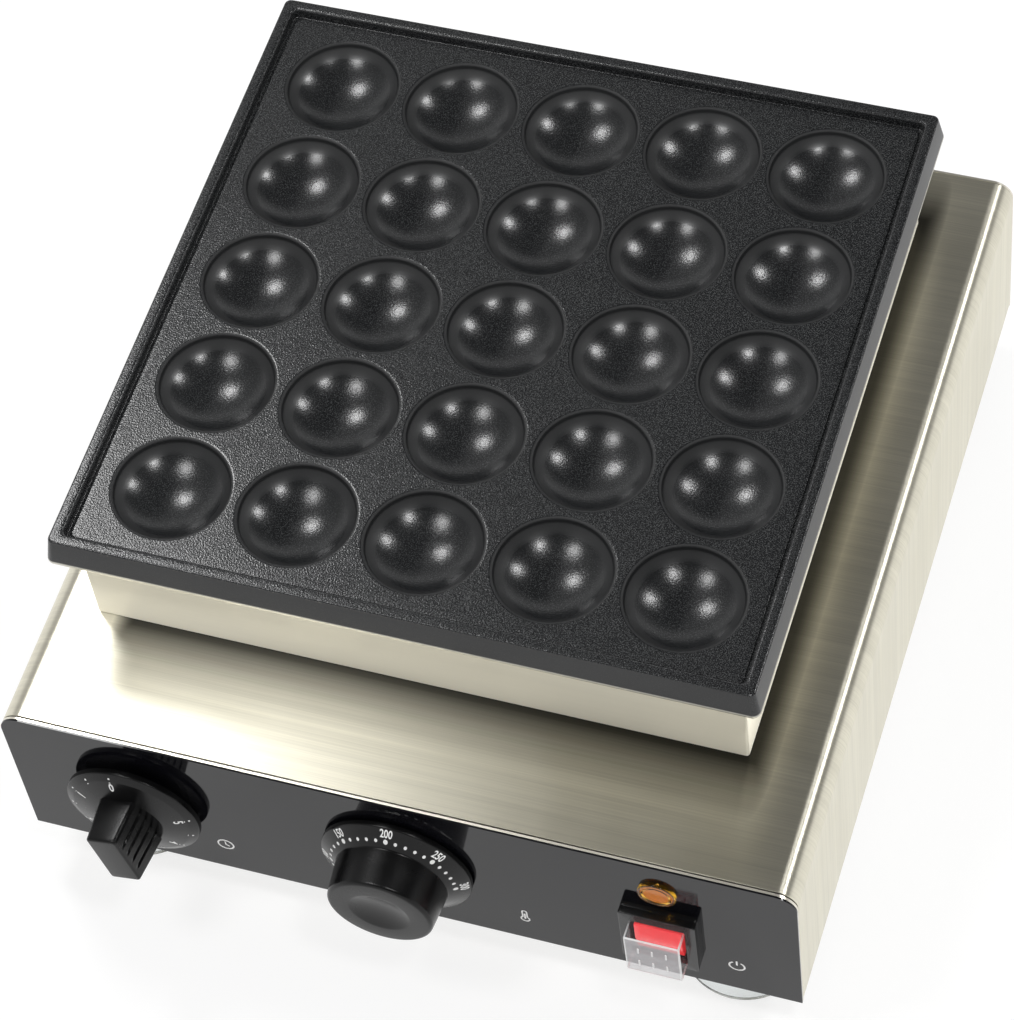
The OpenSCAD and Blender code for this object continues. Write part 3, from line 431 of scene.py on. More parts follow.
def make_glassy(slot, colour, rough, size, depth):
    """Clear coloured plastic with a wavy skin."""
    tree, shader, place = start_look(slot, rough, Transmission_Weight=1.0, IOR=1.47)
    haze = haze_at(tree, place, 60.0)
    hazy = [channel * 0.93 for channel in colour] + [1.0]
    feed(tree, shader, Base_Color=mix_colour(tree, haze, [*colour, 1.0], hazy),
         Roughness=remap(tree, haze, rough, rough * 1.6))
    feed_bump(tree, shader, effect(tree, fine_grain, place, Size=size)["Height"], depth)
    let_shadows_through(tree, shader, [0.5 + 0.5 * channel for channel in colour] + [1.0])


def make_boot_clear(front_y, clear=0.03, frosted=0.6, edge_white=0.9):
    """Thin clear skin: its front, at front_y in metres, is frosted, and its round edges are whitish."""
    tree, shader, place = start_look("boot_clear", 0.2, IOR=1.45)
    front = remap(tree, axes_of(tree, place)["Y"], 0.0, 1.0, front_y + 0.9 * MM, front_y + 0.5 * MM)
    edge = vertex_number(tree, "edge")
    milk = mix_colour(tree, haze_at(tree, place, 120.0), (0.66, 0.65, 0.67, 1), (0.78, 0.77, 0.79, 1))
    cover = remap(tree, front, clear, frosted)
    feed(tree, shader, Base_Color=mix_colour(tree, edge, milk, (0.95, 0.95, 0.95, 1)),
         Roughness=remap(tree, front, 0.1, 0.38),
         Alpha=math_node(tree, "MAXIMUM", cover, math_node(tree, "MULTIPLY", edge, edge_white)))


make_glassy("lens_amber", (0.95, 0.5, 0.03), 0.06, 700.0, 0.03)
make_glassy("foot_clear", (0.9, 0.93, 0.93), 0.08, 400.0, 0.03)
make_boot_clear(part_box("switch_boot")[0][1])
print("finishes:", len(looks), "of which missing:", sorted(set(slot_of.values()) - set(looks)))

# %% [markdown]
# The solids that stay visible get the finish of their material slot. The ones that are replaced further
# down keep it too, but aren't shown.

# %% Finishes of the solids
for name, solid in frame["nodes"].items():
    for place in solid.material_slots:
        place.material = looks[slot_of[name]]
print("solids with a finish:", sum(len(o.material_slots) > 0 for o in frame["nodes"].values()))

# %% [markdown]
# All new shapes are grids of points. A grid needs rows of points and the quads between them. A closed row
# is a ring. One function turns patches of points and faces into an object: it merges the points where
# patches meet, turns the faces outwards, and keeps edges sharp only where the surface really has a corner.

# %% Grids and meshes


def grid_faces(rows, columns, ring=True):
    """Quads of a grid of rows by columns points. A ring joins the last column to the first."""
    last = columns if ring else columns - 1
    row, column = np.meshgrid(np.arange(rows - 1), np.arange(last), indexing="ij")
    here = row * columns + column
    beside = row * columns + (column + 1) % columns
    return np.stack([here, beside, beside + columns, here + columns], -1).reshape(-1, 4)


def loft(rows, ring=True, caps=()):
    """A patch from an array of rows of points. caps names rows, by index, that a flat face closes."""
    rows = np.asarray(rows, float)
    count, columns = rows.shape[:2]
    faces = grid_faces(count, columns, ring).tolist()
    faces += [list(range(row % count * columns, row % count * columns + columns)) for row in caps]
    return rows.reshape(-1, 3), faces


def put_mesh(name, patches, crease=32.0):
    """One object from patches of points, in millimetres, and faces."""
    starts = np.cumsum([0] + [len(points) for points, _ in patches])
    points = np.concatenate([points for points, _ in patches]) * MM
    faces = []
    for start, (_, made) in zip(starts, patches):
        faces += [[start + corner for corner in face] for face in made]
    mesh = bpy.data.meshes.new(name)
    mesh.from_pydata(points.tolist(), [], faces)
    shape = bmesh.new()
    shape.from_mesh(mesh)
    bmesh.ops.remove_doubles(shape, verts=shape.verts, dist=2e-6)
    bmesh.ops.recalc_face_normals(shape, faces=shape.faces)
    shape.to_mesh(mesh)
    shape.free()
    mesh.shade_smooth()
    mesh.set_sharp_from_angle(angle=math.radians(crease))
    piece = bpy.data.objects.new(name, mesh)
    bpy.context.scene.collection.objects.link(piece)
    return piece


def seat(piece, body, slot, *solids):
    """Gives a piece the finish of a slot, a body to ride on and the solids that it stands for."""
    piece.data.materials.append(looks[slot])
    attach(piece, body)
    if solids:
        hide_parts(*solids)
    print(piece.name + ":", len(piece.data.vertices), "points,", len(piece.data.polygons), "faces")


def points_of(mesh):
    """The points of a mesh, in its own units."""
    points = np.zeros(len(mesh.vertices) * 3)
    mesh.vertices.foreach_get("co", points)
    return points.reshape(-1, 3)


# %% [markdown]
# Real edges are never perfectly sharp, and the small round along an edge is what catches the light. So each
# profile is written as a few corners with a fillet radius, and this function rounds them. An arc that
# touches both sides of a corner starts radius / tan(half the angle) away from it.

# %% Profiles with round corners


def rounded_path(corners, closed=False, arc_step=15.0):
    """A path through corners (x, y, fillet radius), with a point every arc_step degrees on each fillet."""
    corners = np.asarray(corners, float)
    runs = []
    for index, (x, y, radius) in enumerate(corners):
        here = np.array([x, y])
        if radius <= 0.0 or (not closed and index in (0, len(corners) - 1)):
            runs.append(here[None])
            continue
        back = unit(corners[index - 1, :2] - here)
        ahead = unit(corners[(index + 1) % len(corners), :2] - here)
        half = math.acos(float(np.clip(back @ ahead, -1.0, 1.0))) / 2.0
        middle = here + unit(back + ahead) * radius / math.sin(half)
        first, last = (here + side * radius / math.tan(half) - middle for side in (back, ahead))
        start = math.atan2(first[1], first[0])
        sweep = (math.atan2(last[1], last[0]) - start + math.pi) % (2.0 * math.pi) - math.pi
        steps = max(2, math.ceil(abs(math.degrees(sweep)) / arc_step))
        turn = start + sweep * np.linspace(0.0, 1.0, steps + 1)
        runs.append(middle + radius * np.stack([np.cos(turn), np.sin(turn)], -1))
    return np.concatenate(runs)


def closed_loop(path):
    """A path that ends where it starts."""
    return np.concatenate([path, path[:1]])


def turned(profile, steps=96):
    """A lathe patch: each (radius, height) of the profile goes round the axis."""
    turn = np.linspace(0.0, 2.0 * math.pi, steps, endpoint=False)
    radius, height = profile[:, :1], profile[:, 1:]
    return loft(np.stack([radius * np.cos(turn), radius * np.sin(turn), height + 0.0 * turn], -1))


def carried_round(profile, half_x, half_y, radius, steps=6, caps=()):
    """A profile of (inset, height) carried round a rectangle with round corners, centred on the axis."""
    profile = np.asarray(profile, float)
    inset, height = profile[:, :1], profile[:, 1:]
    corner = np.maximum(radius - inset, 0.05)
    quarter = np.arange(4).repeat(steps + 1)
    turn = np.radians(quarter * 90.0 + 180.0 + np.tile(np.linspace(0.0, 90.0, steps + 1), 4))
    side_x = np.array([-1.0, 1.0, 1.0, -1.0])[quarter]
    side_y = np.array([-1.0, -1.0, 1.0, 1.0])[quarter]
    x = side_x * (half_x - inset - corner) + corner * np.cos(turn)
    y = side_y * (half_y - inset - corner) + corner * np.sin(turn)
    return loft(np.stack([x, y, height + 0.0 * turn], -1), caps=caps)


def at_heights(outline, heights):
    """Rows that hold the same outline in the XY plane at several heights."""
    return np.stack([np.insert(outline, 2, height, axis=1) for height in heights])


print("fillet of a square corner:", len(rounded_path([(0, 0, 0), (10, 0, 2), (10, 10, 0)])), "points")

# %% [markdown]
# The plate is one iron casting. Its bowls are part of a ball with a short steep wall at the mouth, and the
# casting has small rounds at every corner. A bowl is a surface of two parameters: the distance along its
# profile and the angle around it. Each bowl sits in a square cell, so the last ring goes from the round
# mouth to the square edge of the cell. Cells that share an edge then share its points.

# %% Cells of the plate
plate_low, plate_high = node_box("griddle_plate")
head = (plate_low + plate_high)[:2] / 2.0
plate_top = plate_high[2]
plate_floor = plate_top - 3.7
pitch = 50.0
bowls = 5
middle_bowl = bowls // 2
field_half = pitch * bowls / 2.0
per_side = 20
clockwise = np.array([[0, -1], [1, 0]])


def bowl_profile(mouth=22.5, depth=10.5, wall=2.0, lean=14.0, rows=12):
    """Radius and height from the middle of a bowl to the floor: a ball, a steep wall and a round lip."""
    wall_r = mouth - wall * math.tan(math.radians(lean))
    cap = depth - wall
    ball = (wall_r ** 2 + cap ** 2) / (2.0 * cap)
    radius = np.linspace(0.0, wall_r, rows)
    height = ball - depth - np.sqrt(ball ** 2 - radius ** 2)
    wall_round, lip_round, lip_wide = 1.4, 1.0, 1.4
    corners = np.stack([radius, height, np.where(radius < wall_r, 0.0, wall_round)], -1)
    lip = [[mouth, 0.0, lip_round], [mouth + lip_wide, 0.0, 0.0]]
    return rounded_path(np.concatenate([corners, lip]), arc_step=12.0)


def four_turns(sides):
    """Joins four sides into a ring, each turned a quarter further clockwise."""
    return np.concatenate([side @ np.linalg.matrix_power(clockwise, n) for n, side in enumerate(sides)])


def cell_edge(outer_corner=None):
    """Points round a square cell, clockwise from its corner at +x +y, crowded at an outer corner."""
    even = np.arange(per_side) / per_side
    shares = [even] * 4
    if outer_corner is not None:
        shares[outer_corner] = even ** 2
        shares[outer_corner - 1] = 1.0 - (1.0 - even) ** 2
    return pitch * four_turns([np.stack([np.full(per_side, 0.5), 0.5 - share], -1) for share in shares])


def bowl_cells():
    """One patch for each cell: the rings of its bowl and the square edge around them."""
    turn = np.radians(45.0 - 90.0 / per_side * np.arange(4 * per_side))
    radius, height = bowl_profile().T[:, :, None]
    rings = np.stack([radius * np.cos(turn), radius * np.sin(turn), height + 0.0 * turn], -1)
    end = bowls - 1
    outer = {(end, end): 0, (end, 0): 1, (0, 0): 2, (0, end): 3}
    cells = []
    for place in np.ndindex(bowls, bowls):
        middle = [*(head + (np.array(place) - middle_bowl) * pitch), plate_floor]
        edge = at_heights(cell_edge(outer.get(place)), [0.0])
        cells.append(loft(np.concatenate([rings, edge]) + middle))
    return cells


cells = bowl_cells()
print("bowls:", len(cells), "cells of", len(cells[0][0]), "points")

# %% [markdown]
# Around the field of cells run the groove, the raised rim, the flared side and the underside. They are one
# profile carried round the plate. Its rings start as the square outline of the cells, and their corners
# become rounder from ring to ring. A ring's first seven points beside each corner lie on the arc.

# %% Rim and sides of the plate
corner_cell = pitch * (np.arange(per_side) / per_side) ** 2
side_steps = np.concatenate([corner_cell, np.linspace(pitch, field_half, 31)])
arc_points = 7


def go_round(half_side):
    """A ring from the points of half a side, which run from the corner at +x +y to the middle of +x."""
    return four_turns([np.concatenate([half_side[:-1], half_side[:0:-1] * [1, -1]])] * 4)


def plate_ring(half, radius, height, squeeze=1.0):
    """A square ring with round corners, squeezed along Y."""
    turn = np.radians(45.0 * (1.0 - np.arange(arc_points + 1) / arc_points))
    arc = half - radius + radius * np.stack([np.cos(turn), np.sin(turn)], -1)
    past_arc = side_steps[arc_points + 1:] - side_steps[arc_points]
    straight_y = (half - radius) * (1.0 - past_arc / past_arc[-1])
    straight = np.stack([np.full(len(straight_y), half), straight_y], -1)
    ring = go_round(np.concatenate([arc, straight])) * [1.0, squeeze] + head
    return np.insert(ring, 2, height, axis=1)


def plate_border(core_x=122.25, core_y=120.6, edge_tall=12.3, groove=0.8):
    """The rings from the field of cells over the rim and down to the core, which a flat face closes."""
    low = plate_top - edge_tall
    groove_z = plate_floor - groove
    groove_in, groove_out, rim_in, rim_out, foot = 129.8, 131.35, 131.7, 136.2, 138.1
    profile = rounded_path([
        (groove_in - 2.2, plate_floor, 0.0), (groove_in, plate_floor, 0.5), (groove_in + 0.3, groove_z, 0.4),
        (groove_out, groove_z, 0.5), (rim_in, plate_top, 1.2), (rim_out, plate_top, 0.9),
        (foot - 0.13, low + 1.7, 0.0), (foot, low + 0.9, 0.3), (foot, low, 0.25), (core_x + 1.0, low, 0.0)])
    corner_from = [groove_in, rim_in - 0.1, rim_out, foot + 0.05]
    corner = np.interp(profile[:, 0], corner_from, [2.2, 2.5, 2.5, 3.2])
    field = go_round(np.stack([np.full(len(side_steps), field_half), field_half - side_steps], -1)) + head
    rings = [np.insert(field, 2, plate_floor, axis=1)]
    rings += [plate_ring(half, radius, height) for (half, height), radius in zip(profile, corner)]
    rings += [plate_ring(core_x, 2.5, height, core_y / core_x) for height in (low, plate_low[2])]
    return loft(np.stack(rings), caps=(-1,))


plate = put_mesh("plate", cells + [plate_border()], 50.0)
print("plate:", len(plate.data.polygons), "faces")

# %% [markdown]
# The finish of the plate reads two numbers at each vertex. They follow from where the vertex is: on the
# steep wall of a bowl, on the outer side, along the lower edge, or on an open face.

# %% Grain and bare edge of the plate


def set_number(piece, name, values):
    """Stores one number for each vertex."""
    numbers = piece.data.attributes.new(name, "FLOAT", "POINT")
    numbers.data.foreach_set("value", values.astype(np.float32))


def plate_numbers(bowl_reach=23.5, side_from=136.3, side_grain=0.2, bare_from=11.2):
    """Grain: full on open faces, less in the bowls, none at their mouths. Bare: along the lower edge."""
    points = points_of(plate.data) / MM
    across = points[:, :2] - head
    middle = pitch * np.clip(np.round(across / pitch), -middle_bowl, middle_bowl)
    from_bowl = np.linalg.norm(across - middle, axis=1)
    outward = np.abs(across).max(1)
    in_bowl = (outward < field_half + 1.0) & (from_bowl < bowl_reach)
    side = outward > side_from
    bowl_grain = np.interp(from_bowl, [12.0, 18.0, 21.0], [0.6, 0.25, 0.0])
    grain = np.select([side, in_bowl], [side_grain, bowl_grain], 1.0)
    return grain, side & (points[:, 2] < plate_top - bare_from)


plate_grain, plate_bare = plate_numbers()
set_number(plate, "grain", plate_grain)
set_number(plate, "bare", plate_bare)
seat(plate, "machine", "plate_coat", "griddle_plate")

# %% [markdown]
# The heater box is folded from one steel sheet and welded at its corners. It has an inward lip at the
# bottom and is open at the top, where the plate closes it. Its cross-section is a closed loop, carried
# round a rectangle with round corners. A UV map tells the shader which way the grinding lines run: U is
# across them.

# %% Heater box


def set_lines(piece, across, along):
    """Writes the UV map called lines: U is the distance across the grinding lines and V is along them."""
    mesh = piece.data
    corners = np.zeros(len(mesh.loops), np.int32)
    mesh.loops.foreach_get("vertex_index", corners)
    flat = np.stack([across[corners], along[corners]], -1)
    mesh.uv_layers.new(name="lines").data.foreach_set("uv", flat.astype(np.float32).ravel())


box_half = (box_high - box_low) / 2.0
box_tall = box_high[2] - box_low[2]
box_lip, box_sheet, box_corner = 13.0, 1.0, 1.3
box_path = closed_loop(rounded_path([
    (0.0, box_tall, 0.0), (0.0, 0.0, 1.2), (box_lip, 0.0, 0.0), (box_lip, box_sheet, 0.0),
    (box_sheet, box_sheet, 0.4), (box_sheet, box_tall, 0.0)]))
box_points, box_faces = carried_round(box_path, box_half[0], box_half[1], box_corner, steps=8)
box = put_mesh("box", [(box_points + [*(box_low + box_half)[:2], box_low[2]], box_faces)])
box_at = points_of(box.data)
set_lines(box, box_at[:, 2], box_at[:, 0] + box_at[:, 1])
seat(box, "machine", "box_steel", "heater_box")

# %% [markdown]
# The cover is one sheet, folded over both long edges of the housing and turned in at the bottom. Its outer
# and inner faces are two paths with the same corners, one sheet apart. Each point of the path carries a
# thin rectangle: the thickness of the sheet by the depth of the housing, with the burr taken off its edges.
# The tabs behind the end panels are plain strips.

# %% Housing cover


def block(low, high):
    """A plain box as a patch."""
    low, high = np.asarray(low, float), np.asarray(high, float)
    rows = at_heights(np.array([[0, 0], [1, 0], [1, 1], [0, 1]]), (0, 1))
    return loft(low + rows * (high - low), caps=(0, -1))


def bent_sheet(half, low, high, front, back, bend=8.5, sheet=1.0, turn_in=15.0, burr=0.15):
    """The folded sheet: columns are the eight corners of a rectangle with its edges broken."""
    outer = np.array([(-half + turn_in, low, 0), (-half, low, 1.5), (-half, high, bend)])
    inner = outer + [(0.0, sheet, 0.0), (sheet, sheet, -sheet), (sheet, -sheet, -sheet)]
    paths = []
    for left in (outer, inner):
        right = left[::-1] * [-1, 1, 1]
        paths.append(rounded_path(np.concatenate([left, right]), arc_step=7.5))
    inward = np.array([0.0, 0.0, burr, sheet - burr, sheet, sheet, sheet - burr, burr]) / sheet
    depth = np.array([front + burr, back - burr, back, back, back - burr, front + burr, front, front])
    face = paths[0][:, None] + (paths[1] - paths[0])[:, None] * inward[:, None]
    rows = np.stack([face[..., 0], depth + 0.0 * face[..., 0], face[..., 1]], -1)
    return loft(rows, caps=(0, -1))


cover_low, cover_high = node_box("housing_cover")
cover_half, cover_back, cover_top = cover_high
sheet = 1.0
panel_back = node_box("front_panel")[0][1] + sheet
cover_front = panel_back + 0.6
tab_low, tab_high = cover_low[2] + 3.2, cover_top - 9.5
tab_wide, tab_outer = 14.5, cover_half - 0.5
tabs = []
for tab_front, tab_back in ((panel_back, cover_front + sheet), (cover_back - sheet, cover_back)):
    for tab_x in (-tab_outer, tab_outer - tab_wide):
        tabs.append(block((tab_x, tab_front, tab_low), (tab_x + tab_wide, tab_back, tab_high)))
cover_sheet = bent_sheet(cover_half, cover_low[2], cover_top, cover_front, cover_back)
cover = put_mesh("cover", [cover_sheet] + tabs)
cover_at = points_of(cover.data)
set_lines(cover, cover_at[:, 1], cover_at[:, 0] + (cover_top * MM - cover_at[:, 2]) * np.sign(cover_at[:, 0]))
seat(cover, "machine", "cover_steel", "housing_cover")

# %% [markdown]
# The pieces on the panel are easiest to shape in the panel's own frame: x to the right, y up and z out of
# the panel. One function moves a finished patch from there into the part's frame, and can turn it on the
# spot first. Another makes an object from several such patches.

# %% The panel's own frame
panel_y = node_box("panel_overlay")[0][1]


def on_panel(patch, x, z, turn=0.0):
    """A patch from the panel's frame, turned counter-clockwise by degrees and placed at x and z."""
    points, faces = patch
    angle = math.radians(turn)
    right = points[:, 0] * math.cos(angle) - points[:, 1] * math.sin(angle)
    up = points[:, 0] * math.sin(angle) + points[:, 1] * math.cos(angle)
    return np.stack([x + right, panel_y - points[:, 2], z + up], -1), faces


def put_on_panel(name, patches, x, z, turn=0.0):
    """One object from patches in the panel's frame, all turned and placed alike."""
    return put_mesh(name, [on_panel(patch, x, z, turn) for patch in patches])


timer_x, _, timer_z = pivots["timer_turn"]
dial_x, _, dial_z = pivots["thermostat_turn"]
switch_x, _, switch_z = pivots["rocker_press"]
print("panel at y", round(panel_y, 1), "with dials at height", round(dial_z, 2))

# %% [markdown]
# The thermostat's dial is moulded: a cone-shaped skirt that carries the scale, a round grip that is hardly
# tapered, and a shallow dish in its front. It is hollow behind, with a hub that fits the shaft. All of it
# is one profile on a lathe.

# %% Thermostat dial
shaft_r = 3.02
lathe_steps = 128
dial_skirt = np.array([(22.3, 8.0), (30.0, 3.2)])


def dial_profile(reach=23.4, shaft_end=16.4, dish_r=12.2, dish_deep=1.9):
    """Radius and distance from the panel, from the bottom of the shaft's hole round to the dish."""
    dish = np.linspace(dish_r, 0.0, 9)
    dish_floor = reach - dish_deep * (1.0 - (dish / dish_r) ** 2)
    ceiling = reach - 4.0
    (skirt_in, skirt_top), (skirt_out, skirt_edge) = dial_skirt
    inside = [(0.0, shaft_end, 0.0), (shaft_r, shaft_end, 0.0), (shaft_r, 3.0, 0.0), (7.0, 3.0, 0.3),
              (7.0, ceiling, 0.5), (18.7, ceiling, 0.5), (20.1, 7.0, 0.5), (27.8, 2.4, 0.5), (27.8, 1.0, 0.2)]
    outside = [(skirt_out, 1.0, 0.4), (skirt_out, skirt_edge, 0.9), (skirt_in, skirt_top, 1.0),
               (20.85, reach, 1.7)]
    front = np.stack([dish, dish_floor, np.where(dish < dish_r, 0.0, 2.0)], -1)
    return rounded_path(np.concatenate([inside, outside, front]))


dial = put_on_panel("dial", [turned(dial_profile(), lathe_steps)], dial_x, dial_z)
seat(dial, "thermostat_dial", "knob_black", "thermostat_knob")

# %% [markdown]
# The timer's dial has a flatter skirt and a bar to turn it by. The bar is wider at its foot than at its
# nose and wider at its tail than at its tip, and four grooves on each side give the fingers a hold. Its
# outline is worked out once for every height: straight sides minus the grooves, and round corners.

# %% Timer dial
timer_tilt = 12.0
timer_face = np.array([(14.0, 10.0), (23.7, 7.5), (27.0, 6.0)])
(crown_r, crown_z), (slope_r, slope_z), (brim_r, brim_z) = timer_face


def bar_outline(tip, tail, groove_deep, length=14.0, corner=1.6, groove_half=0.85):
    """Points round the bar at one height. tip and tail are half widths at its two ends."""
    flat_end = length - corner - 0.3
    lower = np.linspace(-flat_end, flat_end, 121)
    from_groove = lower[:, None] - np.array([-7.5, -2.5, 2.5, 7.5])
    cut = np.sqrt(np.clip(1.0 - (from_groove / groove_half) ** 2, 0.0, 1.0)).max(1) * groove_deep
    width = tail + (tip - tail) * (lower + length) / (2.0 * length)
    angle = np.radians(np.linspace(0.0, 90.0, 6))
    across, up = corner * np.cos(angle), corner * np.sin(angle)
    top = np.stack([tip - corner + across, length - corner + up], -1)
    bottom = np.stack([tail - corner + up, corner - length - across], -1)
    right = np.concatenate([bottom, np.stack([width - cut, lower], -1), top])
    return np.concatenate([right, right[::-1] * [-1, 1]])


def bar_patch(foot=9.5, nose=28.0, tip=7.6, tail=8.8, nose_half=6.4, edge=1.0):
    """The bar from its foot to its nose: outlines at several heights, the last drawn in to round the edge."""
    groove_deep, groove_fade, groove_end = 0.75, 3.0, 25.0
    rows = []
    for height in np.linspace(foot, nose - edge, 15):
        share = (height - crown_z) / (nose - crown_z)
        deep = groove_deep * math.sqrt(np.clip((groove_end - height) / groove_fade, 0.0, 1.0))
        outline = bar_outline(tip + (nose_half - tip) * share, tail + (nose_half - tail) * share, deep)
        rows.append(np.insert(outline, 2, height, axis=1))
    side = np.roll(outline, -1, 0) - np.roll(outline, 1, 0)
    inward = np.stack([-side[:, 1], side[:, 0]], -1) / np.linalg.norm(side, axis=1)[:, None]
    for turn in np.radians([18, 36, 54, 72, 90]):
        drawn_in = outline + inward * edge * (1.0 - math.cos(turn))
        rows.append(np.insert(drawn_in, 2, nose - edge + edge * math.sin(turn), axis=1))
    return loft(np.stack(rows), caps=(0, -1))


timer_skirt = rounded_path([
    (0.0, 18.0, 0.0), (shaft_r, 18.0, 0.0), (shaft_r, 3.0, 0.0), (7.0, 3.0, 0.3), (7.0, 8.0, 0.4),
    (crown_r, 8.0, 0.4), (slope_r, 5.5, 0.4), (25.0, 4.0, 0.3), (25.0, 3.4, 0.2), (brim_r, 3.4, 0.4),
    (brim_r, brim_z, 0.7), (slope_r, slope_z, 0.8), (crown_r, crown_z, 1.5), (0.0, crown_z, 0.0)])
timer_patches = [turned(timer_skirt, lathe_steps), bar_patch()]
timer = put_on_panel("timer", timer_patches, timer_x, timer_z, timer_tilt)
seat(timer, "timer_dial", "knob_black", "timer_knob")

# %% [markdown]
# The scales are printed on the skirts. Digits come from a text curve, which is turned into a mesh and laid
# on the cone: its x becomes the angle and its y the distance from the axis. Dots and ticks are small
# strips. All print is a few hundredths of a millimetre thick and rides on its dial.

# %% Print on the dials
ink = 0.04


def text_patch(text, tall, narrow=0.8):
    """Digits as a thin solid in the XY plane, tall millimetres high, centred and narrowed along X."""
    curve = bpy.data.curves.new("digits", "FONT")
    curve.body = text
    curve.extrude = 0.5
    curve.offset = 0.02
    curve.resolution_u = 4
    carrier = bpy.data.objects.new("digits", curve)
    bpy.context.scene.collection.objects.link(carrier)
    drawn = carrier.evaluated_get(bpy.context.evaluated_depsgraph_get())
    flat = bpy.data.meshes.new_from_object(drawn)
    points = points_of(flat)
    faces = [list(face.vertices) for face in flat.polygons]
    bpy.data.objects.remove(carrier)
    bpy.data.curves.remove(curve)
    bpy.data.meshes.remove(flat)
    low, high = points.min(0), points.max(0)
    scale = tall / (high[1] - low[1])
    return (points - (low + high) / 2.0) * [scale * narrow, scale, 2.0 * ink], faces


def strip_patch(wide, tall, sides=4):
    """A thin bar, or a dot if it has many sides, centred in the XY plane."""
    turn = np.radians(360.0 / sides * (np.arange(sides) + 0.5))
    reach = 1.0 / math.cos(math.pi / sides) / 2.0
    outline = np.stack([wide * reach * np.cos(turn), tall * reach * np.sin(turn)], -1)
    return loft(at_heights(outline, (-ink, ink)), caps=(0, -1))


def on_skirt(patch, radius, angle, skirt):
    """Lays a flat patch on a skirt, at an angle clockwise from the top and with its top outwards."""
    points, faces = patch
    outward = radius + points[:, 1]
    turn = math.radians(angle) + points[:, 0] / radius
    height = np.interp(outward, skirt[:, 0], skirt[:, 1]) + points[:, 2]
    return np.stack([outward * np.sin(turn), outward * np.cos(turn), height], -1), faces


number_r, number_step, top_number = 27.9, 45.0, 4
dot_r, dot_step, dots_a_number, top_dot = 24.9, 9.0, 5, 15
dial_marks = []
for n in range(1, 7):
    digits = text_patch(str(50 * n), 3.1)
    dial_marks.append(on_skirt(digits, number_r, number_step * (n - top_number), dial_skirt))
for n in range(26):
    size = 1.25 if n % dots_a_number else 1.75
    dial_marks.append(on_skirt(strip_patch(size, size, 10), dot_r, dot_step * (n - top_dot), dial_skirt))
dial_print = put_on_panel("dial_print", dial_marks, dial_x, dial_z)
seat(dial_print, "thermostat_dial", "dial_print")

minute_r, tick_r, minute_step = 20.7, 24.1, 54.0
timer_marks = [on_skirt(text_patch(str(n), 3.8), minute_r, -minute_step * n, timer_face) for n in range(6)]
for n in range(11):
    timer_marks.append(on_skirt(strip_patch(0.75, 2.2), tick_r, -minute_step / 2.0 * n, timer_face))
timer_print = put_on_panel("timer_print", timer_marks, timer_x, timer_z, timer_tilt)
seat(timer_print, "timer_dial", "dial_print")

# %% [markdown]
# Each control has a small sign printed beside it on the overlay: a clock, a thermometer and the common sign
# for power. A sign is made of strokes, and a stroke is a rectangle of ink carried along a path. That keeps
# its width the same all along, which a scaled outline wouldn't.

# %% Signs on the panel


def stroke(path, wide=0.7, closed=False):
    """A line of ink along a path in the XY plane."""
    path = np.asarray(path, float)
    ahead = np.roll(path, -1, 0) - np.roll(path, 1, 0) if closed else np.gradient(path, axis=0)
    aside = np.stack([-ahead[:, 1], ahead[:, 0]], -1) / np.linalg.norm(ahead, axis=1)[:, None] * wide / 2.0
    rows = np.stack([np.insert(path + side * aside, 2, level, axis=1)
                     for side, level in ((-1, -ink), (1, -ink), (1, ink), (-1, ink))], 1)
    return loft(closed_loop(rows)) if closed else loft(rows, caps=(0, -1))


def arc(radius, start, end, steps=24, middle=(0.0, 0.0)):
    """Points on an arc, in degrees counter-clockwise from +x."""
    turn = np.radians(np.linspace(start, end, steps))
    return np.array(middle) + radius * np.stack([np.cos(turn), np.sin(turn)], -1)


clock = [stroke(arc(3.2, 0, 345), closed=True), stroke([(0, 2.2), (0, 0), (1.5, -0.9)], 0.6)]
bulb = np.concatenate([arc(0.9, 0, 180, 9, (0.0, 3.0)), arc(1.7, 122, 418, 19, (0.0, -2.4))])
thermometer = [stroke(bulb, 0.6, True), stroke([(0, 1.6), (0, -2.4)])]
power = [stroke(arc(3.0, 120, 420)), stroke([(0, 3.8), (0, 0.6)])]
sign_places = [(clock, -73.5, 43.5), (thermometer, 48.2, 43.2), (power, 131.7, 43.3)]
signs = put_mesh("signs", [on_panel(patch, x, z) for patches, x, z in sign_places for patch in patches])
seat(signs, "machine", "dial_print")

# %% [markdown]
# The lamp is a turned amber lens with a ring cut into its face. It is closed behind, because a clear solid
# needs a skin all round to bend light in a believable way.

# %% Lamp lens
lens_x, _, lens_z = sum(node_box("lamp_lens")) / 2.0
lens_r, lens_back = 7.4, 0.03
lens_path = rounded_path([
    (0.0, lens_back, 0.0), (lens_r, lens_back, 0.0), (lens_r, 1.8, 0.5), (5.8, 1.8, 0.2), (5.3, 1.2, 0.1),
    (4.8, 1.6, 0.2), (0.0, 1.6, 0.0)])
lens = put_on_panel("lens", [turned(lens_path)], lens_x, lens_z)
seat(lens, "machine", "lens_amber", "lamp_lens")

# %% [markdown]
# The switch is a moulded block with a wide flange, and a second frame on it holds the soft clear boot. The
# flange, the frame and the boot are stacks of rectangular rings with round corners. A ring is given by its
# half width, its half height and its corner. The opening isn't in the middle of the flange, so the outer
# rings are shifted up a little. Rings are listed from the outside to the inside.

# %% Switch, frame and boot


def ring_at(size, height, shift=0.0):
    """One rectangular ring with round corners at a height, shifted along Y."""
    points, _ = carried_round([(0.0, height)], *size)
    return points + [0.0, shift, 0.0]


def stack(rings):
    """A closed tube of rings: the last one is joined to the first."""
    return loft(closed_loop(np.stack(rings)))


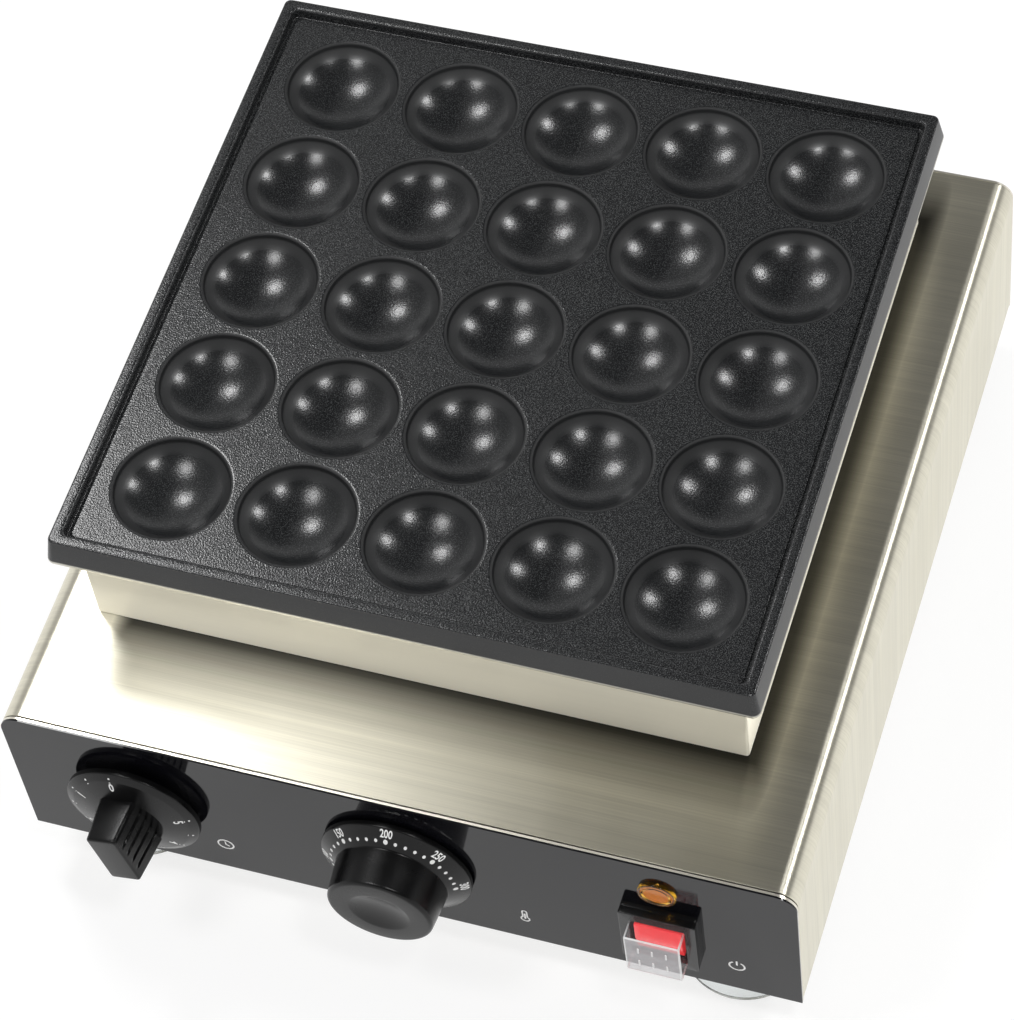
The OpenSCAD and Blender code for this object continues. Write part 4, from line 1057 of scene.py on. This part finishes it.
def edge_rings(size, top, fillet, shift=0.0):
    """Rings that round the upper edge of a block: each is drawn in as it rises."""
    half_x, half_y, corner = size
    turn = np.radians(np.linspace(0.0, 90.0, 6))
    drawn = zip(fillet * (1.0 - np.cos(turn)), top - fillet + fillet * np.sin(turn))
    return [ring_at((half_x - inset, half_y - inset, max(corner - inset, 0.1)), height, shift)
            for inset, height in drawn]


lift = 0.4
flange_top, lip_top, frame_top, boot_top = 2.0, 3.0, 5.0, 12.4
flange_size, well, case_size = (14.9, 17.1, 1.0), (9.5, 13.0, 0.3), (11.0, 15.0, 0.8)
well_floor, case_back, tag_end = -6.0, -26.0, -35.0

flange = stack([ring_at(flange_size, 0.0, lift)] + edge_rings(flange_size, flange_top, 0.3, lift)
               + [ring_at(well, flange_top), ring_at(well, 0.0)])
case = [loft(np.stack([ring_at(case_size, case_back), ring_at(case_size, well_floor)]), caps=(0, -1)),
        stack([ring_at(case_size, well_floor), ring_at(case_size, 0.0), ring_at(well, 0.0),
               ring_at(well, well_floor)])]
tag_half = np.array([0.4, 3.0])
tags = []
for tag in ((-5.0, -9.0), (-5.0, 9.0), (5.0, -9.0), (5.0, 9.0)):
    tags.append(block([*(tag - tag_half), tag_end], [*(tag + tag_half), case_back + 0.5]))
switch = put_on_panel("switch", [flange] + case + tags, switch_x, switch_z)
seat(switch, "machine", "switch_black", "switch_body")

frame_hole, lip_hole, play = (10.92, 12.52, 0.9), (12.92, 14.52, 0.6), 0.02
frame_rings = [ring_at(flange_size, flange_top, lift)] + edge_rings(flange_size, frame_top, 0.4, lift)
frame_rings += [ring_at(frame_hole, frame_top), ring_at(frame_hole, lip_top + play),
                ring_at(lip_hole, lip_top + play), ring_at(lip_hole, flange_top)]
boot_holder = put_on_panel("boot_holder", [stack(frame_rings)], switch_x, switch_z)
seat(boot_holder, "machine", "switch_black", "boot_frame")

boot_lip, boot_size, boot_inner = (12.9, 14.5, 0.6), (10.9, 12.5, 0.9), (10.1, 11.7, 0.4)
boot_flat, boot_skin, front_round = (9.9, 11.5, 0.2), 0.8, 0.6
boot_rings = [ring_at(boot_lip, flange_top), ring_at(boot_lip, lip_top), ring_at(boot_size, lip_top)]
boot_rings += edge_rings(boot_size, boot_top, front_round) + [ring_at(boot_flat, boot_top)]
boot_inside = edge_rings(boot_inner, boot_top - boot_skin, 0.3)[::-1] + [ring_at(boot_inner, flange_top)]
boot_patches = [loft(np.stack(boot_rings), caps=(-1,)), loft(np.stack(boot_inside), caps=(0,)),
                loft(np.stack([boot_inside[-1], boot_rings[0]]))]
rib_path = [(0.0, -0.1), (0.0, 0.15), (0.12, 0.32), (0.3, 0.4)]
rib_points, rib_faces = carried_round(rib_path, 0.4, 2.0, 0.39, 4, caps=(0, -1))
for rib_x in (-5.4, 0.0, 5.4):
    for rib_y in (-4.6, 4.6):
        boot_patches.append((rib_points + [rib_x, rib_y, boot_top], rib_faces))
boot = put_on_panel("boot", boot_patches, switch_x, switch_z)

boot_at = points_of(boot.data) / MM
boot_out = panel_y - boot_at[:, 1]
past_x = np.abs(boot_at[:, 0] - switch_x) > boot_size[0] - boot_size[2] + play
past_up = np.abs(boot_at[:, 2] - switch_z) > boot_size[1] - boot_size[2] + play
past_front = boot_out > boot_top - front_round + play
on_round = past_x.astype(int) + past_up + past_front > 1
on_rib = boot_out > boot_top + 0.05
set_number(boot, "edge", (boot_out > frame_top - 0.1) & (on_round | on_rib))
seat(boot, "machine", "boot_clear", "switch_boot")

# %% [markdown]
# The rocker is a block with a roof-shaped top. Its outline seen from the side is rounded and carried from
# left to right, with the two end outlines drawn in a little so that their edges are round as well. It is
# modelled level and then tilted by six degrees about its pins, as it is in the stored state.

# %% Rocker


def rocker_patches(half_w=9.1, half_h=10.6, face=6.4, back=-3.0, tilt=6.0, pivot_out=-1.5):
    """Rocker and pins in the panel's frame: x from left to right, y up, z out."""
    pin_r, pin_reach = 1.5, 10.1
    lean = math.radians(tilt)
    shoulder = face - half_h * math.tan(lean)
    middle = np.array([0.0, face / 2.0])
    outline = rounded_path([
        (half_h, shoulder, 0.7), (0.0, face, 6.0), (-half_h, shoulder, 0.7), (-half_h, 0.0, 0.5),
        (-half_h / 2.0, back, 0.8), (half_h / 2.0, back, 0.8), (half_h, 0.0, 0.5)], True)
    rows = []
    for x, inset in ((-1.0, 0.5), (-0.985, 0.15), (-0.95, 0.0), (0.95, 0.0), (0.985, 0.15), (1.0, 0.5)):
        size = 1.0 - inset / half_h
        rows.append(np.insert(middle + (outline - middle) * size, 0, x * half_w, axis=1))
    turn = np.linspace(0.0, 2.0 * math.pi, 24, endpoint=False)
    pin = pin_r * np.stack([np.cos(turn), np.sin(turn)], -1)
    pins = np.stack([np.insert(pin, 0, x, axis=1) for x in (-pin_reach, pin_reach)])
    cosine, sine = math.cos(lean), math.sin(lean)
    tilted = np.array([[1, 0, 0], [0, cosine, sine], [0, -sine, cosine]])
    return [loft(shape @ tilted + [0.0, 0.0, pivot_out], caps=(0, -1)) for shape in (np.stack(rows), pins)]


rocker = put_on_panel("rocker", rocker_patches(), switch_x, switch_z)
seat(rocker, "rocker", "rocker_red", "power_rocker")

# %% [markdown]
# The feet are clear rubber suckers, cast in one piece: a wide cup that stands on a ring, and a neck that
# the bolt pulls against the base. Each is turned on a lathe and placed where its solid is.

# %% Feet
foot_path = closed_loop(rounded_path([
    (20.5, 0.0, 0.4), (25.0, 0.0, 0.5), (25.0, 2.5, 0.9), (22.5, 4.0, 1.2), (12.0, 13.0, 3.0),
    (11.0, 15.0, 1.0), (11.0, 26.0, 0.3), (3.25, 26.0, 0.0), (3.25, 10.0, 0.0), (6.0, 10.0, 0.0),
    (6.0, 4.0, 0.8)], True))
foot_points, foot_faces = turned(foot_path, 80)
for place in ("front_left", "front_right", "rear_left", "rear_right"):
    foot_middle = sum(node_box("foot_" + place)) / 2.0 * [1.0, 1.0, 0.0]
    foot = put_mesh("sucker_" + place, [(foot_points + foot_middle, foot_faces)])
    seat(foot, "machine", "foot_clear", "foot_" + place)

# %% [markdown]
# The machine stands in a white studio under four round lamps. Their places follow from the shine in the
# bowls, and their strengths from how bright each shine is. They are aimed at the plate, and the camera
# doesn't see them.

# %% Lamps
lamp_places = {"right": ((506, -434, 1383), 4.0, 200.0), "left": ((-410, -408, 1149), 3.0, 280.0),
               "back_right": ((1028, 719, 1442), 7.0, 300.0), "back_left": ((-654, 375, 1181), 4.6, 280.0)}
for name, (place, power_watts, lamp_wide) in lamp_places.items():
    lamp_data = bpy.data.lights.new("lamp_" + name, "AREA")
    lamp_data.shape = "DISK"
    lamp_data.size = lamp_wide * MM
    lamp_data.energy = power_watts
    lamp = bpy.data.objects.new("lamp_" + name, lamp_data)
    lamp.matrix_world = look_matrix(np.array(place, float), np.array([*head, plate_top]))
    lamp.visible_camera = False
    bpy.context.scene.collection.objects.link(lamp)
print("lamps:", len(lamp_places))

# %% [markdown]
# The room around the machine is white walls and a grey ceiling, which is darker to the right. The camera,
# the shine and clear pieces see that room. Dull surfaces get an even, weaker light from it, so that the
# lamps still shape them.

# %% Room
wall_top, ceiling_from = 0.22, 0.55
ceiling_left, ceiling_right = 0.38, 0.085
left_end, right_end = -0.25, -0.14
dull_light = 0.5
world = bpy.data.worlds.new("room")
bpy.context.scene.world = world
world.use_nodes = True
room = world.node_tree
toward = axes_of(room, add(room, "ShaderNodeTexCoord").outputs["Generated"])
ceiling = remap(room, toward["X"], ceiling_left, ceiling_right, left_end, right_end)
shown = remap(room, toward["Z"], 1.0, ceiling, wall_top, ceiling_from, interpolation_type="SMOOTHSTEP")
level = add(room, "ShaderNodeMix", {0: seen_rays(room), 2: dull_light, 3: shown}).outputs[0]
backdrop = room.nodes["Background"].inputs
fill(room, backdrop["Strength"], level)
fill(room, backdrop["Color"], (1.0, 1.0, 1.0, 1.0))
print("room:", len(room.nodes), "nodes")

# %% [markdown]
# The floor is a white sweep. About two thirds of its white is its own, for the camera and the shine, and
# the rest comes from the light, so that the machine's shadow stays faintly visible on it.

# %% Floor
floor_half, floor_drop = 3000.0, 0.1
own_share, own_strength = 0.65, 1.12
floor_corners = np.array([[(-1, -1, 0), (1, -1, 0)], [(-1, 1, 0), (1, 1, 0)]])
floor = put_mesh("floor", [loft(floor_corners * floor_half - [0.0, 0.0, floor_drop], ring=False)])
tree, shader, place = start_look("floor_white", 0.9)
haze = haze_at(tree, place, 3.0)
feed(tree, shader, Base_Color=mix_colour(tree, haze, (0.88, 0.88, 0.88, 1), (0.9, 0.9, 0.9, 1)))
own_white = add(tree, "ShaderNodeEmission", {"Strength": own_strength}).outputs[0]
own = math_node(tree, "MULTIPLY", seen_rays(tree), own_share)
surface = add(tree, "ShaderNodeMixShader", {0: own, 1: shader.outputs[0], 2: own_white}).outputs[0]
fill(tree, tree.nodes["Material Output"].inputs["Surface"], surface)
floor.data.materials.append(looks["floor_white"])
print("floor:", round(2.0 * floor_half * MM, 1), "m wide")
